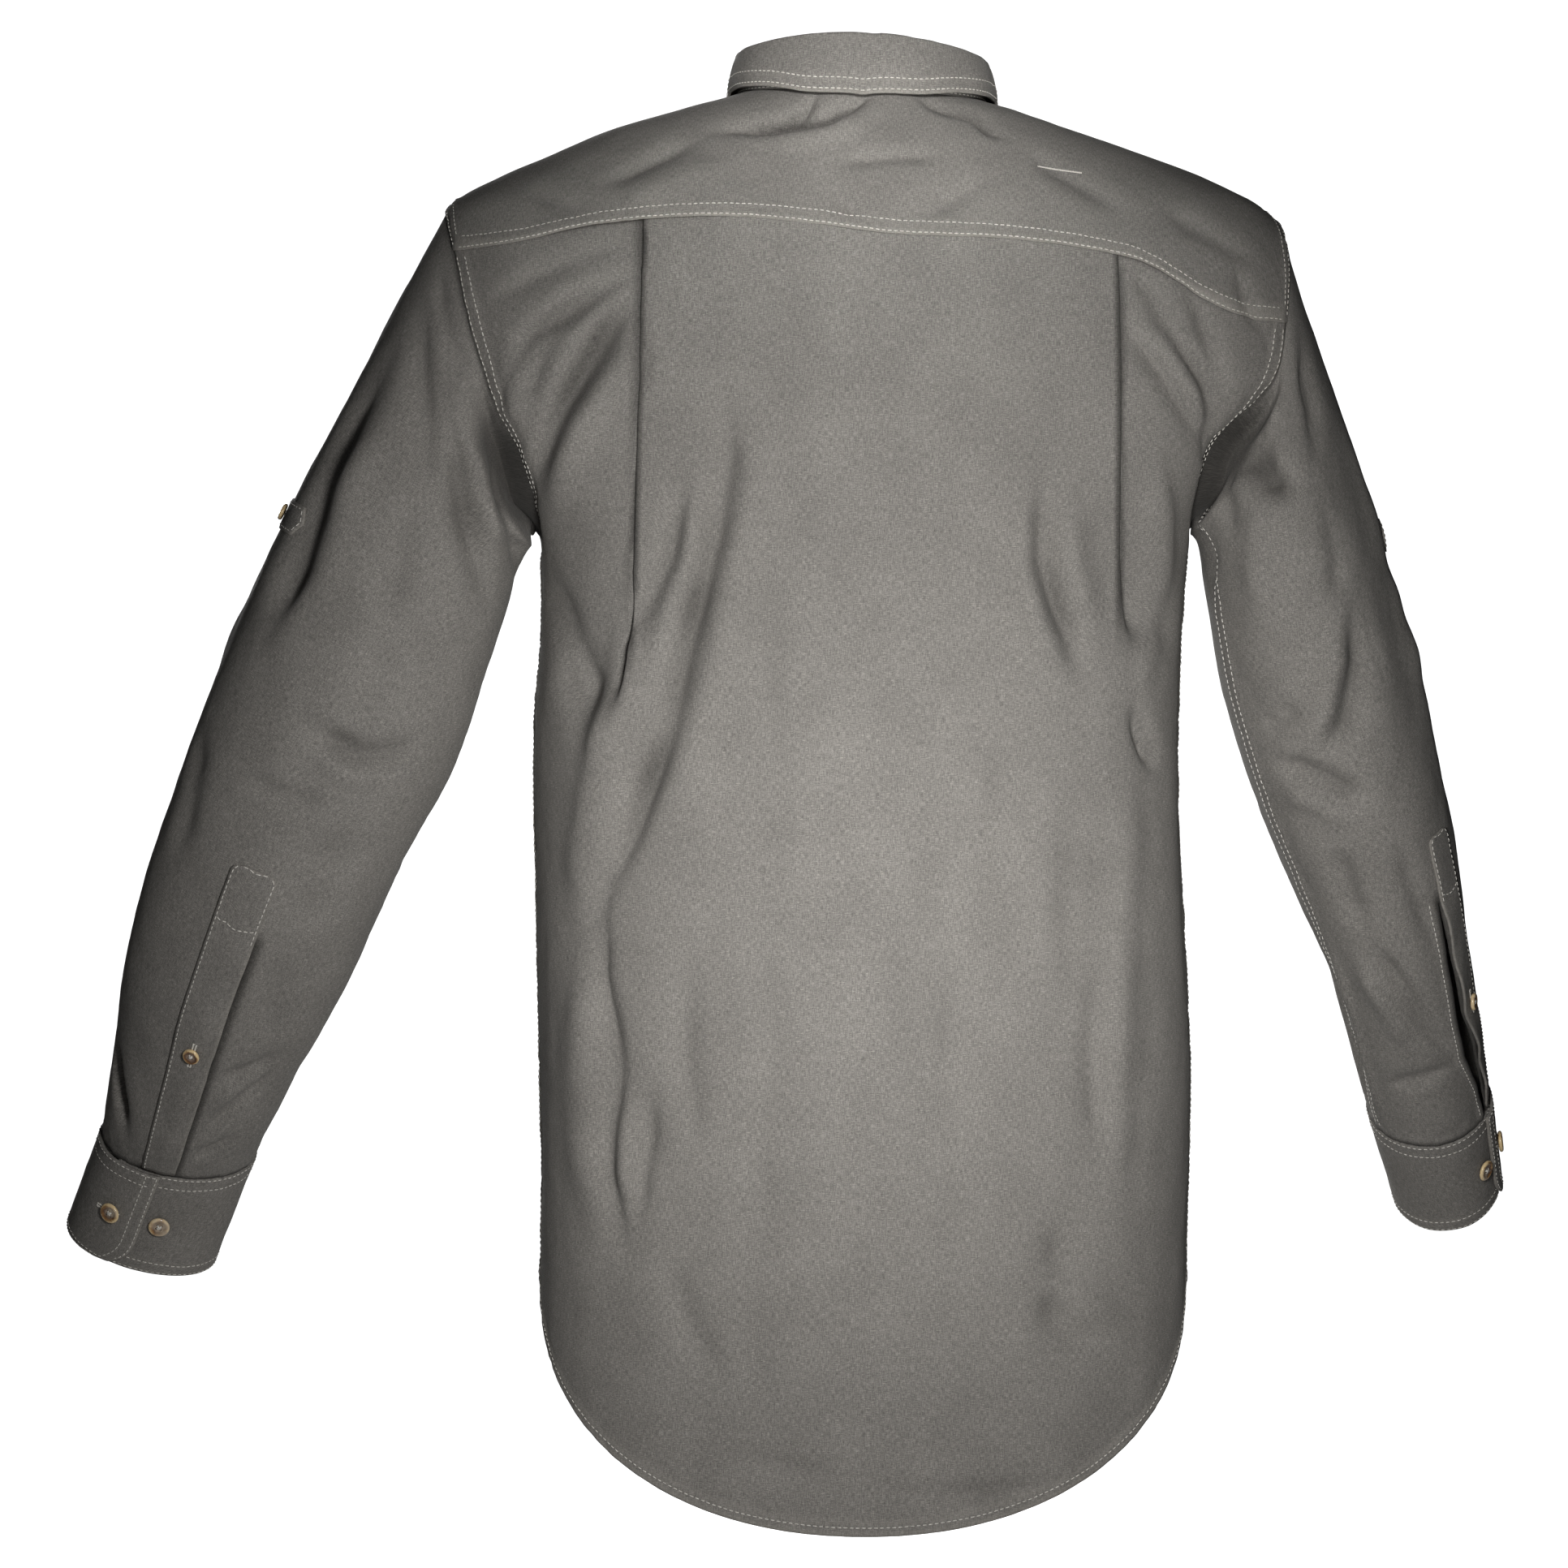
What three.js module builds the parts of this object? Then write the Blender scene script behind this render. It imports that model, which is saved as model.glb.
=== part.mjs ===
import * as THREE from "three";

// A safari shirt, buttoned up and filled out as if worn, seen hollow from neck, cuffs and hem.
// Millimetres, +Z up, the front towards -Y, the wearer's left towards +X.
// The origin is the middle of the neck base.

// Cloth walls and the gaps between them
const CLOTH = 1.2;
const DOUBLED = 1.8;
const BAND = 1.4;
const SEAM = 0.6;
const LAY = 0.5;

// Driving sizes
const NECK_HALF_WIDTH = 71;
const NECK_DROP = 70;
const NECK_TILT = 0.035;
const STAND_HEIGHT = { back: 26, side: 17.5, front: 24 };
const STAND_LEAN = 0.22;
const STAND_LIFT = 1.7;
const OVERLAP = 17;
const UNDERLAP_DEPTH = 2.6;
const PLACKET_PITCH = 88;
const PLACKET_TOP_BUTTON = -116;
const CUFF_LAP = 2.4;
const CUFF_SEAM = 1;
const TAIL_BACK = { low: -812, rise: 135, power: 1.7 };
const TAIL_FRONT = { low: -780, rise: 103, power: 1.6 };
const SIDE_HEM = -677;
const PLEAT = { roll: 1.02, flatStep: 5, lip: 4, opensAt: 0.72, gone: 0.9 };
const SIDE_POWER = 0.8;

// Body form: half width on each side, depth to the back and the front, squareness, by level
const BODY = [
  { z: 8, left: 52, right: 36, back: 47, front: 4, square: 2 },
  { z: 2.3, left: 71, right: 54, back: 53, front: 6, square: 2 },
  { z: -2.7, left: 90, right: 71, back: 57, front: 10, square: 2 },
  { z: -8, left: 110, right: 88, back: 61, front: 14, square: 2 },
  { z: -18, left: 144, right: 120, back: 68, front: 20, square: 2 },
  { z: -28, left: 167, right: 149, back: 75, front: 27, square: 2.05 },
  { z: -40, left: 195, right: 181, back: 82, front: 35, square: 2.1 },
  { z: -52, left: 220, right: 208, back: 88, front: 43, square: 2.2 },
  { z: -62, left: 236, right: 226, back: 92.5, front: 50, square: 2.3 },
  { z: -75, left: 242, right: 240, back: 97, front: 59, square: 2.4 },
  { z: -90, left: 244, right: 249, back: 101, front: 69, square: 2.5 },
  { z: -110, left: 245, right: 255, back: 105, front: 82, square: 2.6 },
  { z: -135, left: 243, right: 258, back: 109, front: 95, square: 2.6 },
  { z: -160, left: 235, right: 254, back: 111, front: 104, square: 2.6 },
  { z: -180, left: 225, right: 239, back: 112, front: 109, square: 2.6 },
  { z: -200, left: 213, right: 216, back: 112, front: 113, square: 2.6 },
  { z: -225, left: 199, right: 200, back: 111.5, front: 117, square: 2.6 },
  { z: -252, left: 186, right: 188, back: 110, front: 119, square: 2.6 },
  { z: -300, left: 183.5, right: 183, back: 107, front: 121, square: 2.5 },
  { z: -350, left: 187.5, right: 180.5, back: 103, front: 120, square: 2.45 },
  { z: -400, left: 187.5, right: 180.3, back: 100, front: 119, square: 2.4 },
  { z: -450, left: 186.5, right: 182.5, back: 100, front: 118, square: 2.4 },
  { z: -510, left: 185.5, right: 186, back: 102, front: 117, square: 2.4 },
  { z: -560, left: 184.8, right: 187.2, back: 104, front: 117, square: 2.45 },
  { z: -620, left: 183.7, right: 186, back: 106, front: 117, square: 2.5 },
  { z: -700, left: 184.4, right: 184.5, back: 106, front: 116, square: 2.5 },
  { z: -830, left: 184, right: 184, back: 104, front: 112, square: 2.5 },
];

// Seam of yoke and back, between the corners at the armholes
const YOKE_SEAM = [
  { x: -208, z: -118 },
  { x: -176, z: -105.6 },
  { x: -141, z: -96 },
  { x: -84, z: -88 },
  { x: -16, z: -85 },
  { x: 30, z: -79 },
  { x: 75, z: -75 },
  { x: 123, z: -76 },
  { x: 200, z: -84 },
];

// Armholes: an oval in the side view; the turns, in degrees, are where the yoke's corners lie on it
const ARMHOLE = {
  left: { top: -62, bottom: -252, back: 62, front: 58, yokeBack: 45, yokeFront: -36 },
  right: { top: -70, bottom: -248, back: 60, front: 58, yokeBack: 72, yokeFront: -36 },
};
const ARMHOLE_CELLS = { yoke: 8, back: 10, front: 10 };
const BODY_CELLS = 11;

// Knife pleats: x and z of the edge at the seam and at its lower end, and the depth laid under
const PLEATS = {
  left: { x: 123, low: { x: 131, z: -345 }, depth: 22 },
  right: { x: -141, low: { x: -143, z: -322 }, depth: 22 },
};

// Folds of the body, seen from the back: three points, half width and depth, troughs below zero
const BACK_FOLDS = [
  { x1: 126, z1: -112, x2: 162, z2: -162, x3: 190, z3: -228, wide: 13, deep: -6 },
  { x1: 207, z1: -178, x2: 185, z2: -136, x3: 134, z3: -101, wide: 9, deep: -3 },
  { x1: 75, z1: -205, x2: 101, z2: -324, x3: 154, z3: -475, wide: 13, deep: -5 },
  { x1: 92, z1: -205, x2: 118, z2: -330, x3: 168, z3: -460, wide: 12, deep: 3.5 },
  { x1: -99, z1: -228, x2: -108, z2: -295, x3: -124, z3: -335, wide: 11, deep: -5 },
  { x1: -84, z1: -222, x2: -92, z2: -290, x3: -104, z3: -345, wide: 12, deep: 3 },
  { x1: -143, z1: -129, x2: -167, z2: -161, x3: -193, z3: -205, wide: 11, deep: -6 },
  { x1: -170, z1: -250, x2: -160, z2: -350, x3: -168, z3: -470, wide: 14, deep: -4 },
  { x1: 170, z1: -270, x2: 158, z2: -350, x3: 152, z3: -420, wide: 12, deep: -4 },
  { x1: 120, z1: -575, x2: 125, z2: -600, x3: 124, z3: -632, wide: 11, deep: -4 },
  { x1: -150, z1: -540, x2: -130, z2: -640, x3: -150, z3: -720, wide: 14, deep: -3 },
];
const FRONT_FOLDS = [
  { x1: 60, z1: -105, x2: 120, z2: -170, x3: 178, z3: -235, wide: 13, deep: -5 },
  { x1: -50, z1: -110, x2: -112, z2: -175, x3: -176, z3: -230, wide: 13, deep: -5 },
  { x1: 150, z1: -250, x2: 110, z2: -350, x3: 60, z3: -430, wide: 13, deep: -4 },
  { x1: -150, z1: -255, x2: -118, z2: -370, x3: -84, z3: -470, wide: 13, deep: -4 },
  { x1: 120, z1: -430, x2: 126, z2: -520, x3: 116, z3: -640, wide: 14, deep: 3 },
  { x1: -128, z1: -420, x2: -118, z2: -540, x3: -126, z3: -660, wide: 14, deep: 3 },
];

// Leaf edge on the left half, with its height above the body; the right half mirrors it
const LEAF_EDGE = [
  { turn: 0, x: 0, y: 64, lift: 9 },
  { turn: 30, x: 38, y: 57, lift: 8 },
  { turn: 60, x: 65, y: 33, lift: 5.5 },
  { turn: 90, x: 75.5, y: 0, lift: 4 },
  { turn: 115, x: 80, y: -22, lift: 6 },
  { turn: 135, x: 79, y: -44, lift: 7 },
  { turn: 155, x: 66, y: -66, lift: 8 },
  { turn: 176, x: 46, y: -86, lift: 9 },
];

// Sleeves: outer and inner edge from behind, fore-and-aft place and half depth of each section
const SLEEVES = {
  left: [
    { outX: 303, outZ: -186, inX: 191, inZ: -256, mid: 4, depth: 62 },
    { outX: 344, outZ: -268, inX: 214, inZ: -323, mid: 0, depth: 60 },
    { outX: 369, outZ: -324, inX: 234, inZ: -380, mid: -5, depth: 57 },
    { outX: 391, outZ: -380, inX: 262, inZ: -433, mid: -14, depth: 53 },
    { outX: 411, outZ: -436, inX: 288, inZ: -485, mid: -28, depth: 49 },
    { outX: 426, outZ: -484, inX: 310, inZ: -526, mid: -50, depth: 46 },
    { outX: 435, outZ: -532, inX: 333, inZ: -565, mid: -76, depth: 42 },
    { outX: 442, outZ: -568, inX: 350, inZ: -594, mid: -98, depth: 40 },
    { outX: 448, outZ: -594, inX: 360, inZ: -614, mid: -118, depth: 38 },
  ],
  right: [
    { outX: -275, outZ: -187, inX: -192, inZ: -252, mid: 4, depth: 71 },
    { outX: -296, outZ: -259, inX: -198, inZ: -283, mid: 0, depth: 73 },
    { outX: -313, outZ: -314, inX: -210, inZ: -345, mid: -6, depth: 70 },
    { outX: -329, outZ: -368, inX: -228, inZ: -400, mid: -14, depth: 65 },
    { outX: -342, outZ: -420, inX: -249, inZ: -448, mid: -28, depth: 60 },
    { outX: -350.5, outZ: -472, inX: -270, inZ: -494, mid: -48, depth: 56 },
    { outX: -359, outZ: -515, inX: -283.5, inZ: -532, mid: -71, depth: 51 },
    { outX: -364, outZ: -545, inX: -293, inZ: -560, mid: -90, depth: 47 },
    { outX: -369, outZ: -572, inX: -302, inZ: -588, mid: -108, depth: 42 },
  ],
};
const CUFF_END = {
  left: { outX: 472, outZ: -651, inX: 387, inZ: -678, mid: -150, depth: 34 },
  right: { outX: -380, outZ: -626, inX: -322, inZ: -643, mid: -149, depth: 36 },
};
const SLEEVE_STEPS = [0, 0.04, 0.1, 0.18, 0.26, 0.34, 0.42, 0.5, 0.58, 0.66, 0.74, 0.82, 0.9, 1];
const SLIT_FROM_STEP = 9;
const ARMHOLE_LIFT = 1.2;
const ARMHOLE_GAP = 0.8;

// Folds of the sleeves: turn (0 outer edge, 90 back) and share of the length, three points
const SLEEVE_FOLDS = {
  left: [
    { t1: 30, s1: 0.12, t2: 42, s2: 0.28, t3: 44, s3: 0.48, wide: 13, deep: -4 },
    { t1: 50, s1: 0.06, t2: 76, s2: 0.16, t3: 100, s3: 0.33, wide: 13, deep: -5 },
    { t1: 112, s1: 0.12, t2: 125, s2: 0.24, t3: 142, s3: 0.42, wide: 13, deep: -5 },
    { t1: 60, s1: 0.58, t2: 104, s2: 0.63, t3: 150, s3: 0.6, wide: 15, deep: -4 },
    { t1: 98, s1: 0.93, t2: 122, s2: 0.9, t3: 146, s3: 0.88, wide: 12, deep: -3 },
    { t1: 235, s1: 0.1, t2: 250, s2: 0.26, t3: 262, s3: 0.46, wide: 14, deep: -5 },
    { t1: 200, s1: 0.6, t2: 240, s2: 0.64, t3: 290, s3: 0.6, wide: 14, deep: -5 },
  ],
  right: [
    { t1: 84, s1: 0.16, t2: 110, s2: 0.2, t3: 140, s3: 0.16, wide: 13, deep: -6 },
    { t1: 40, s1: 0.34, t2: 66, s2: 0.46, t3: 84, s3: 0.58, wide: 14, deep: -4 },
    { t1: 46, s1: 0.64, t2: 92, s2: 0.6, t3: 140, s3: 0.58, wide: 13, deep: -4 },
    { t1: 46, s1: 0.9, t2: 84, s2: 0.8, t3: 104, s3: 0.74, wide: 13, deep: -4 },
    { t1: 240, s1: 0.1, t2: 252, s2: 0.28, t3: 262, s3: 0.46, wide: 14, deep: -5 },
    { t1: 200, s1: 0.58, t2: 240, s2: 0.62, t3: 290, s3: 0.58, wide: 14, deep: -5 },
  ],
};
const SLEEVE_LENGTH = 560;
const SLEEVE_RADIUS = 50;

// What lies on each sleeve: turns in degrees, places as a share of the sleeve's length
const TRIM = {
  left: {
    slit: 84, slitPath: [[0.66, 84, 1], [1, 84, 1.4]], placket: 87, lapEnd: 90, cuffButtons: [66, 102],
    tab: { from: -26, to: 33, along: 0.228 }, tabButton: 2, placketButton: 0.815,
  },
  right: {
    slit: 57, placket: 45.2, lapEnd: 38, cuffButtons: [14, 52],
    slitPath: [[0.66, 57, 1], [0.74, 56, 4], [0.82, 54.5, 7], [0.88, 47, 13], [0.94, 37, 9], [1, 33, 6]],
    tab: { from: -42, to: 15, along: 0.228 }, tabButton: -13, placketButton: 0.815,
  },
};
const PLACKET_HALF = 10.3;
const PLACKET_FROM = 0.583;
const PLACKET_TO = 0.994;
const PLACKET_EXTRA_LIFT = 0.5;
const FOREARM_RADIUS = 52;
const TAB_EXTRA_LIFT = 0.2;
const TAB_HALF_HEIGHT = 8.5;
const UNDERLAP_TURN = 36;

// Buttons
const SHIRT_BUTTON = 11.4;
const CUFF_BUTTON = 12.7;
const SMALL_BUTTON = 10.2;
const BUTTON_THICK = 2.6;

// Looks of the pieces
const GREY_CLOTH = new THREE.MeshStandardMaterial({ color: 0x77746e, roughness: 0.92, metalness: 0 });
const HORN = new THREE.MeshStandardMaterial({ color: 0x5b4636, roughness: 0.35, metalness: 0 });

const shirt = new THREE.Group();

// Numbers
const radians = THREE.MathUtils.degToRad;
const mix = THREE.MathUtils.lerp;
const clamp = THREE.MathUtils.clamp;
const ease = (x) => THREE.MathUtils.smoothstep(x, 0, 1);
const steps = (count) => Array.from({ length: count + 1 }, (_, i) => i / count);
const between = (from, to, count) => steps(count).map((share) => mix(from, to, share));

// A table read between its rows, as a smooth curve through them
function curve(table, key, column) {
  const rows = [...table].sort((a, b) => a[key] - b[key]);
  const at = rows.map((row) => row[key]);
  const value = rows.map((row) => row[column]);
  const slope = at.map((_, i) => {
    const a = Math.max(i - 1, 0);
    const b = Math.min(i + 1, at.length - 1);
    return (value[b] - value[a]) / (at[b] - at[a]);
  });
  return (wanted) => {
    const x = clamp(wanted, at[0], at[at.length - 1]);
    let i = 0;
    while (i < at.length - 2 && x > at[i + 1]) i += 1;
    const span = at[i + 1] - at[i];
    const t = (x - at[i]) / span;
    const rise = value[i + 1] - value[i];
    const bend = t * (1 - t) * ((slope[i] * span - rise) * (1 - t) - (slope[i + 1] * span - rise) * t);
    return value[i] + rise * t + bend;
  };
}

const bodyForm = Object.fromEntries(
  ["left", "right", "back", "front", "square"].map((name) => [name, curve(BODY, "z", name)]),
);
const yokeSeamZ = curve(YOKE_SEAM, "x", "z");
const sideOf = (x) => (x >= 0 ? "left" : "right");

// How far outside the body form a place lies; zero on it
function formValue(x, y, z) {
  const square = bodyForm.square(z);
  const across = Math.abs(x) / bodyForm[sideOf(x)](z);
  const deep = Math.abs(y) / bodyForm[y >= 0 ? "back" : "front"](z);
  return across ** square + deep ** square - 1;
}

// The body form's y at x and z, its x at y and z, and its z at x and y
function formY(x, z, facing) {
  const square = bodyForm.square(z);
  const across = Math.min(Math.abs(x) / bodyForm[sideOf(x)](z), 1);
  const depth = facing > 0 ? bodyForm.back(z) : -bodyForm.front(z);
  return depth * (1 - across ** square) ** (1 / square);
}
function formX(side, y, z) {
  const square = bodyForm.square(z);
  const deep = Math.abs(y) / bodyForm[y >= 0 ? "back" : "front"](z);
  const width = bodyForm[side](z) * (1 - deep ** square) ** (1 / square);
  return side === "left" ? width : -width;
}
function formZ(x, y) {
  let high = 8;
  let low = -135;
  for (let i = 0; i < 30; i += 1) {
    const middle = (high + low) / 2;
    if (formValue(x, y, middle) > 0) high = middle;
    else low = middle;
  }
  return (high + low) / 2;
}
function formNormal(x, y, z) {
  const d = 0.5;
  const safeY = Math.abs(y) < 1 ? Math.sign(y || 1) : y;
  const at = (dx, dy, dz) => formValue(x + dx, safeY + dy, z + dz);
  return new THREE.Vector3(
    at(d, 0, 0) - at(-d, 0, 0),
    at(0, d, 0) - at(0, -d, 0),
    at(0, 0, d) - at(0, 0, -d),
  ).normalize();
}

// Height of one fold at a place: soft across, faded towards both ends
function foldHeight(px, py, fold, points) {
  let nearest = Infinity;
  let along = 0;
  for (let i = 0; i < 2; i += 1) {
    const [ax, ay] = points[i];
    const [bx, by] = points[i + 1];
    const length2 = (bx - ax) ** 2 + (by - ay) ** 2;
    const share = clamp(((px - ax) * (bx - ax) + (py - ay) * (by - ay)) / length2, 0, 1);
    const distance = Math.hypot(px - ax - share * (bx - ax), py - ay - share * (by - ay));
    if (distance < nearest) {
      nearest = distance;
      along = (i + share) / 2;
    }
  }
  const fade = ease(Math.min(along, 1 - along) * 4) * 0.8 + 0.2;
  return fold.deep * fade * Math.exp(-((nearest / fold.wide) ** 2) * 1.4);
}

function bodyFolds(x, y, z) {
  const folds = y > 0 ? BACK_FOLDS : FRONT_FOLDS;
  let height = 0;
  for (const fold of folds) {
    const points = [[fold.x1, fold.z1], [fold.x2, fold.z2], [fold.x3, fold.z3]];
    height += foldHeight(x, z, fold, points);
  }
  return height * ease((Math.abs(y) - 6) / 34);
}

// A place on the cloth of the body, lifted off it where wanted
function skin(x, y, z, lift = 0) {
  const place = new THREE.Vector3(x, y, z);
  return place.addScaledVector(formNormal(x, y, z), bodyFolds(x, y, z) + lift);
}

// Normals of a grid of points
function gridNormals(grid, ring) {
  const rows = grid.length;
  const columns = grid[0].length;
  return grid.map((row, r) =>
    row.map((_, c) => {
      const before = ring ? (c + columns - 1) % columns : Math.max(c - 1, 0);
      const after = ring ? (c + 1) % columns : Math.min(c + 1, columns - 1);
      const across = row[after].clone().sub(row[before]);
      const down = grid[Math.min(r + 1, rows - 1)][c].clone().sub(grid[Math.max(r - 1, 0)][c]);
      return across.cross(down).normalize();
    }),
  );
}

// Cloth as a closed wall: half its thickness to each side of the grid, cells left out where cut
function wall(name, grid, thickness, { ring = false, cut = () => false, material = GREY_CLOTH } = {}) {
  const rows = grid.length;
  const columns = grid[0].length;
  const normals = gridNormals(grid, ring);
  const positions = [];
  for (const side of [0.5, -0.5]) {
    grid.forEach((row, r) =>
      row.forEach((point, c) => {
        positions.push(...point.clone().addScaledVector(normals[r][c], thickness * side));
      }),
    );
  }
  const cells = ring ? columns : columns - 1;
  const id = (r, c, layer) => layer * rows * columns + r * columns + (c % columns);
  const has = (r, c) => {
    if (r < 0 || r >= rows - 1) return false;
    if (!ring && (c < 0 || c >= cells)) return false;
    return !cut(r, (c + cells) % cells);
  };
  const faces = [];
  const quad = (a, b, c, d) => faces.push(a, b, c, a, c, d);
  const rim = (r1, c1, r2, c2) => quad(id(r1, c1, 0), id(r1, c1, 1), id(r2, c2, 1), id(r2, c2, 0));
  for (let r = 0; r < rows - 1; r += 1) {
    for (let c = 0; c < cells; c += 1) {
      if (!has(r, c)) continue;
      quad(id(r, c, 0), id(r, c + 1, 0), id(r + 1, c + 1, 0), id(r + 1, c, 0));
      quad(id(r, c, 1), id(r + 1, c, 1), id(r + 1, c + 1, 1), id(r, c + 1, 1));
      if (!has(r - 1, c)) rim(r, c, r, c + 1);
      if (!has(r + 1, c)) rim(r + 1, c + 1, r + 1, c);
      if (!has(r, c - 1)) rim(r + 1, c, r, c);
      if (!has(r, c + 1)) rim(r, c + 1, r + 1, c + 1);
    }
  }
  let volume = 0;
  const corner = (i) => new THREE.Vector3().fromArray(positions, i * 3);
  for (let i = 0; i < faces.length; i += 3) {
    volume += corner(faces[i]).dot(corner(faces[i + 1]).cross(corner(faces[i + 2])));
  }
  if (volume < 0) faces.reverse();
  const geometry = new THREE.BufferGeometry();
  geometry.setAttribute("position", new THREE.Float32BufferAttribute(positions, 3));
  geometry.setIndex(faces);
  geometry.computeVertexNormals();
  const mesh = new THREE.Mesh(geometry, material);
  mesh.name = name;
  shirt.add(mesh);
}

// Draw the outer rows or columns of a grid in by half a seam gap
function drawIn(grid, { top = true, bottom = true, start = true, end = true } = {}, by = SEAM / 2) {
  const last = grid.length - 1;
  const edge = grid[0].length - 1;
  const pull = (point, towards) => {
    const step = towards.clone().sub(point);
    return point.clone().addScaledVector(step.normalize(), by);
  };
  const drawn = grid.map((row) => row.map((point) => point.clone()));
  for (let c = 0; c <= edge; c += 1) {
    if (top) drawn[0][c] = pull(drawn[0][c], grid[1][c]);
    if (bottom) drawn[last][c] = pull(drawn[last][c], grid[last - 1][c]);
  }
  for (let r = 0; r <= last; r += 1) {
    if (start) drawn[r][0] = pull(drawn[r][0], drawn[r][1]);
    if (end) drawn[r][edge] = pull(drawn[r][edge], drawn[r][edge - 1]);
  }
  return drawn;
}

// A place on a grid at broken row and column numbers, lifted along the grid's normal
function onGrid(grid, normals, r, c, lift) {
  const r0 = clamp(Math.floor(r), 0, grid.length - 2);
  const c0 = clamp(Math.floor(c), 0, grid[0].length - 2);
  const blend = (field) =>
    field[r0][c0].clone().lerp(field[r0][c0 + 1], c - c0)
      .lerp(field[r0 + 1][c0].clone().lerp(field[r0 + 1][c0 + 1], c - c0), r - r0);
  return blend(grid).addScaledVector(blend(normals).normalize(), lift);
}

// Armhole and neckline as points on the body
function armholePlace(side, turn) {
  const hole = ARMHOLE[side];
  const angle = radians(turn);
  const z = (hole.top + hole.bottom) / 2 + ((hole.top - hole.bottom) / 2) * Math.cos(angle);
  const y = Math.sin(angle) * (Math.sin(angle) > 0 ? hole.back : hole.front);
  return { x: formX(side, y, z), y, z };
}
function armholePoint(side, turn, lift = 0) {
  const { x, y, z } = armholePlace(side, turn);
  return skin(x, y, z, lift);
}
function neckPlace(turn) {
  const angle = radians(turn);
  const x = NECK_HALF_WIDTH * Math.sin(angle);
  const front = Math.cos(angle) < 0;
  const z = NECK_TILT * x - (front ? NECK_DROP * Math.cos(angle) ** 2 : 0);
  return { x, y: formY(x, z, front ? -1 : 1), z };
}
function neckPoint(turn, lift = 0) {
  const { x, y, z } = neckPlace(turn);
  return skin(x, y, z, lift);
}

// Turns round each armhole, from the yoke's front corner over the top and the back to the front
function armholeTurns(side) {
  const { yokeBack, yokeFront } = ARMHOLE[side];
  return {
    yoke: between(yokeFront, yokeBack, ARMHOLE_CELLS.yoke),
    back: between(yokeBack, 180, ARMHOLE_CELLS.back),
    front: between(180, 360 + yokeFront, ARMHOLE_CELLS.front),
  };
}

// Columns of the back: side, pleat, middle, pleat, side, from the right edge to the left
const SIDE_CELLS = 6;
const PLEAT_CELLS = 5;
const MIDDLE_CELLS = 12;
const SEAM_STRAIGHT_TO = 150;

const sideways = (x, width) => {
  const share = Math.min(Math.abs(x) / width, 1);
  return Math.sign(x) * Math.asin(share ** (1 / SIDE_POWER));
};
const unsideways = (angle, width) => Math.sign(angle) * width * Math.abs(Math.sin(angle)) ** SIDE_POWER;

function hemZ(tail, x) {
  const angle = Math.abs(sideways(x, bodyForm[sideOf(x)](tail.low)));
  return tail.low + tail.rise * (angle / (Math.PI / 2)) ** tail.power;
}

// One knife pleat across a row: steps along and down that run under the edge and out again
function pleatSteps(share, depth) {
  const turned = 180 * (1 - ease((share - PLEAT.opensAt) / (1 - PLEAT.opensAt)));
  const laid = turned >= 179 ? mix(depth, PLEAT.lip, ease(share / 0.8)) : PLEAT.lip;
  const chord = mix(PLEAT.flatStep, PLEAT.roll, turned / 180);
  const moves = [
    { length: chord, angle: turned * 0.25 },
    { length: chord, angle: turned * 0.75 },
    { length: laid, angle: turned },
    { length: chord, angle: turned * 0.75 },
    { length: chord, angle: turned * 0.25 },
  ];
  let along = 0;
  let down = 0;
  return [{ along, down }].concat(
    moves.map(({ length, angle }) => {
      along += length * Math.cos(radians(angle));
      down -= length * Math.sin(radians(angle));
      return { along, down };
    }),
  );
}

// Levels of the panel edges on one side: down the armhole, then down the side seam
function edgeLevels(side, turns) {
  const levels = turns.map((turn) => armholePlace(side, turn));
  const bottom = ARMHOLE[side].bottom;
  const below = between(bottom, SIDE_HEM, BODY_CELLS).slice(1);
  return levels.concat(below.map((z) => ({ x: formX(side, 0, z), y: 0, z })));
}

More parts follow.
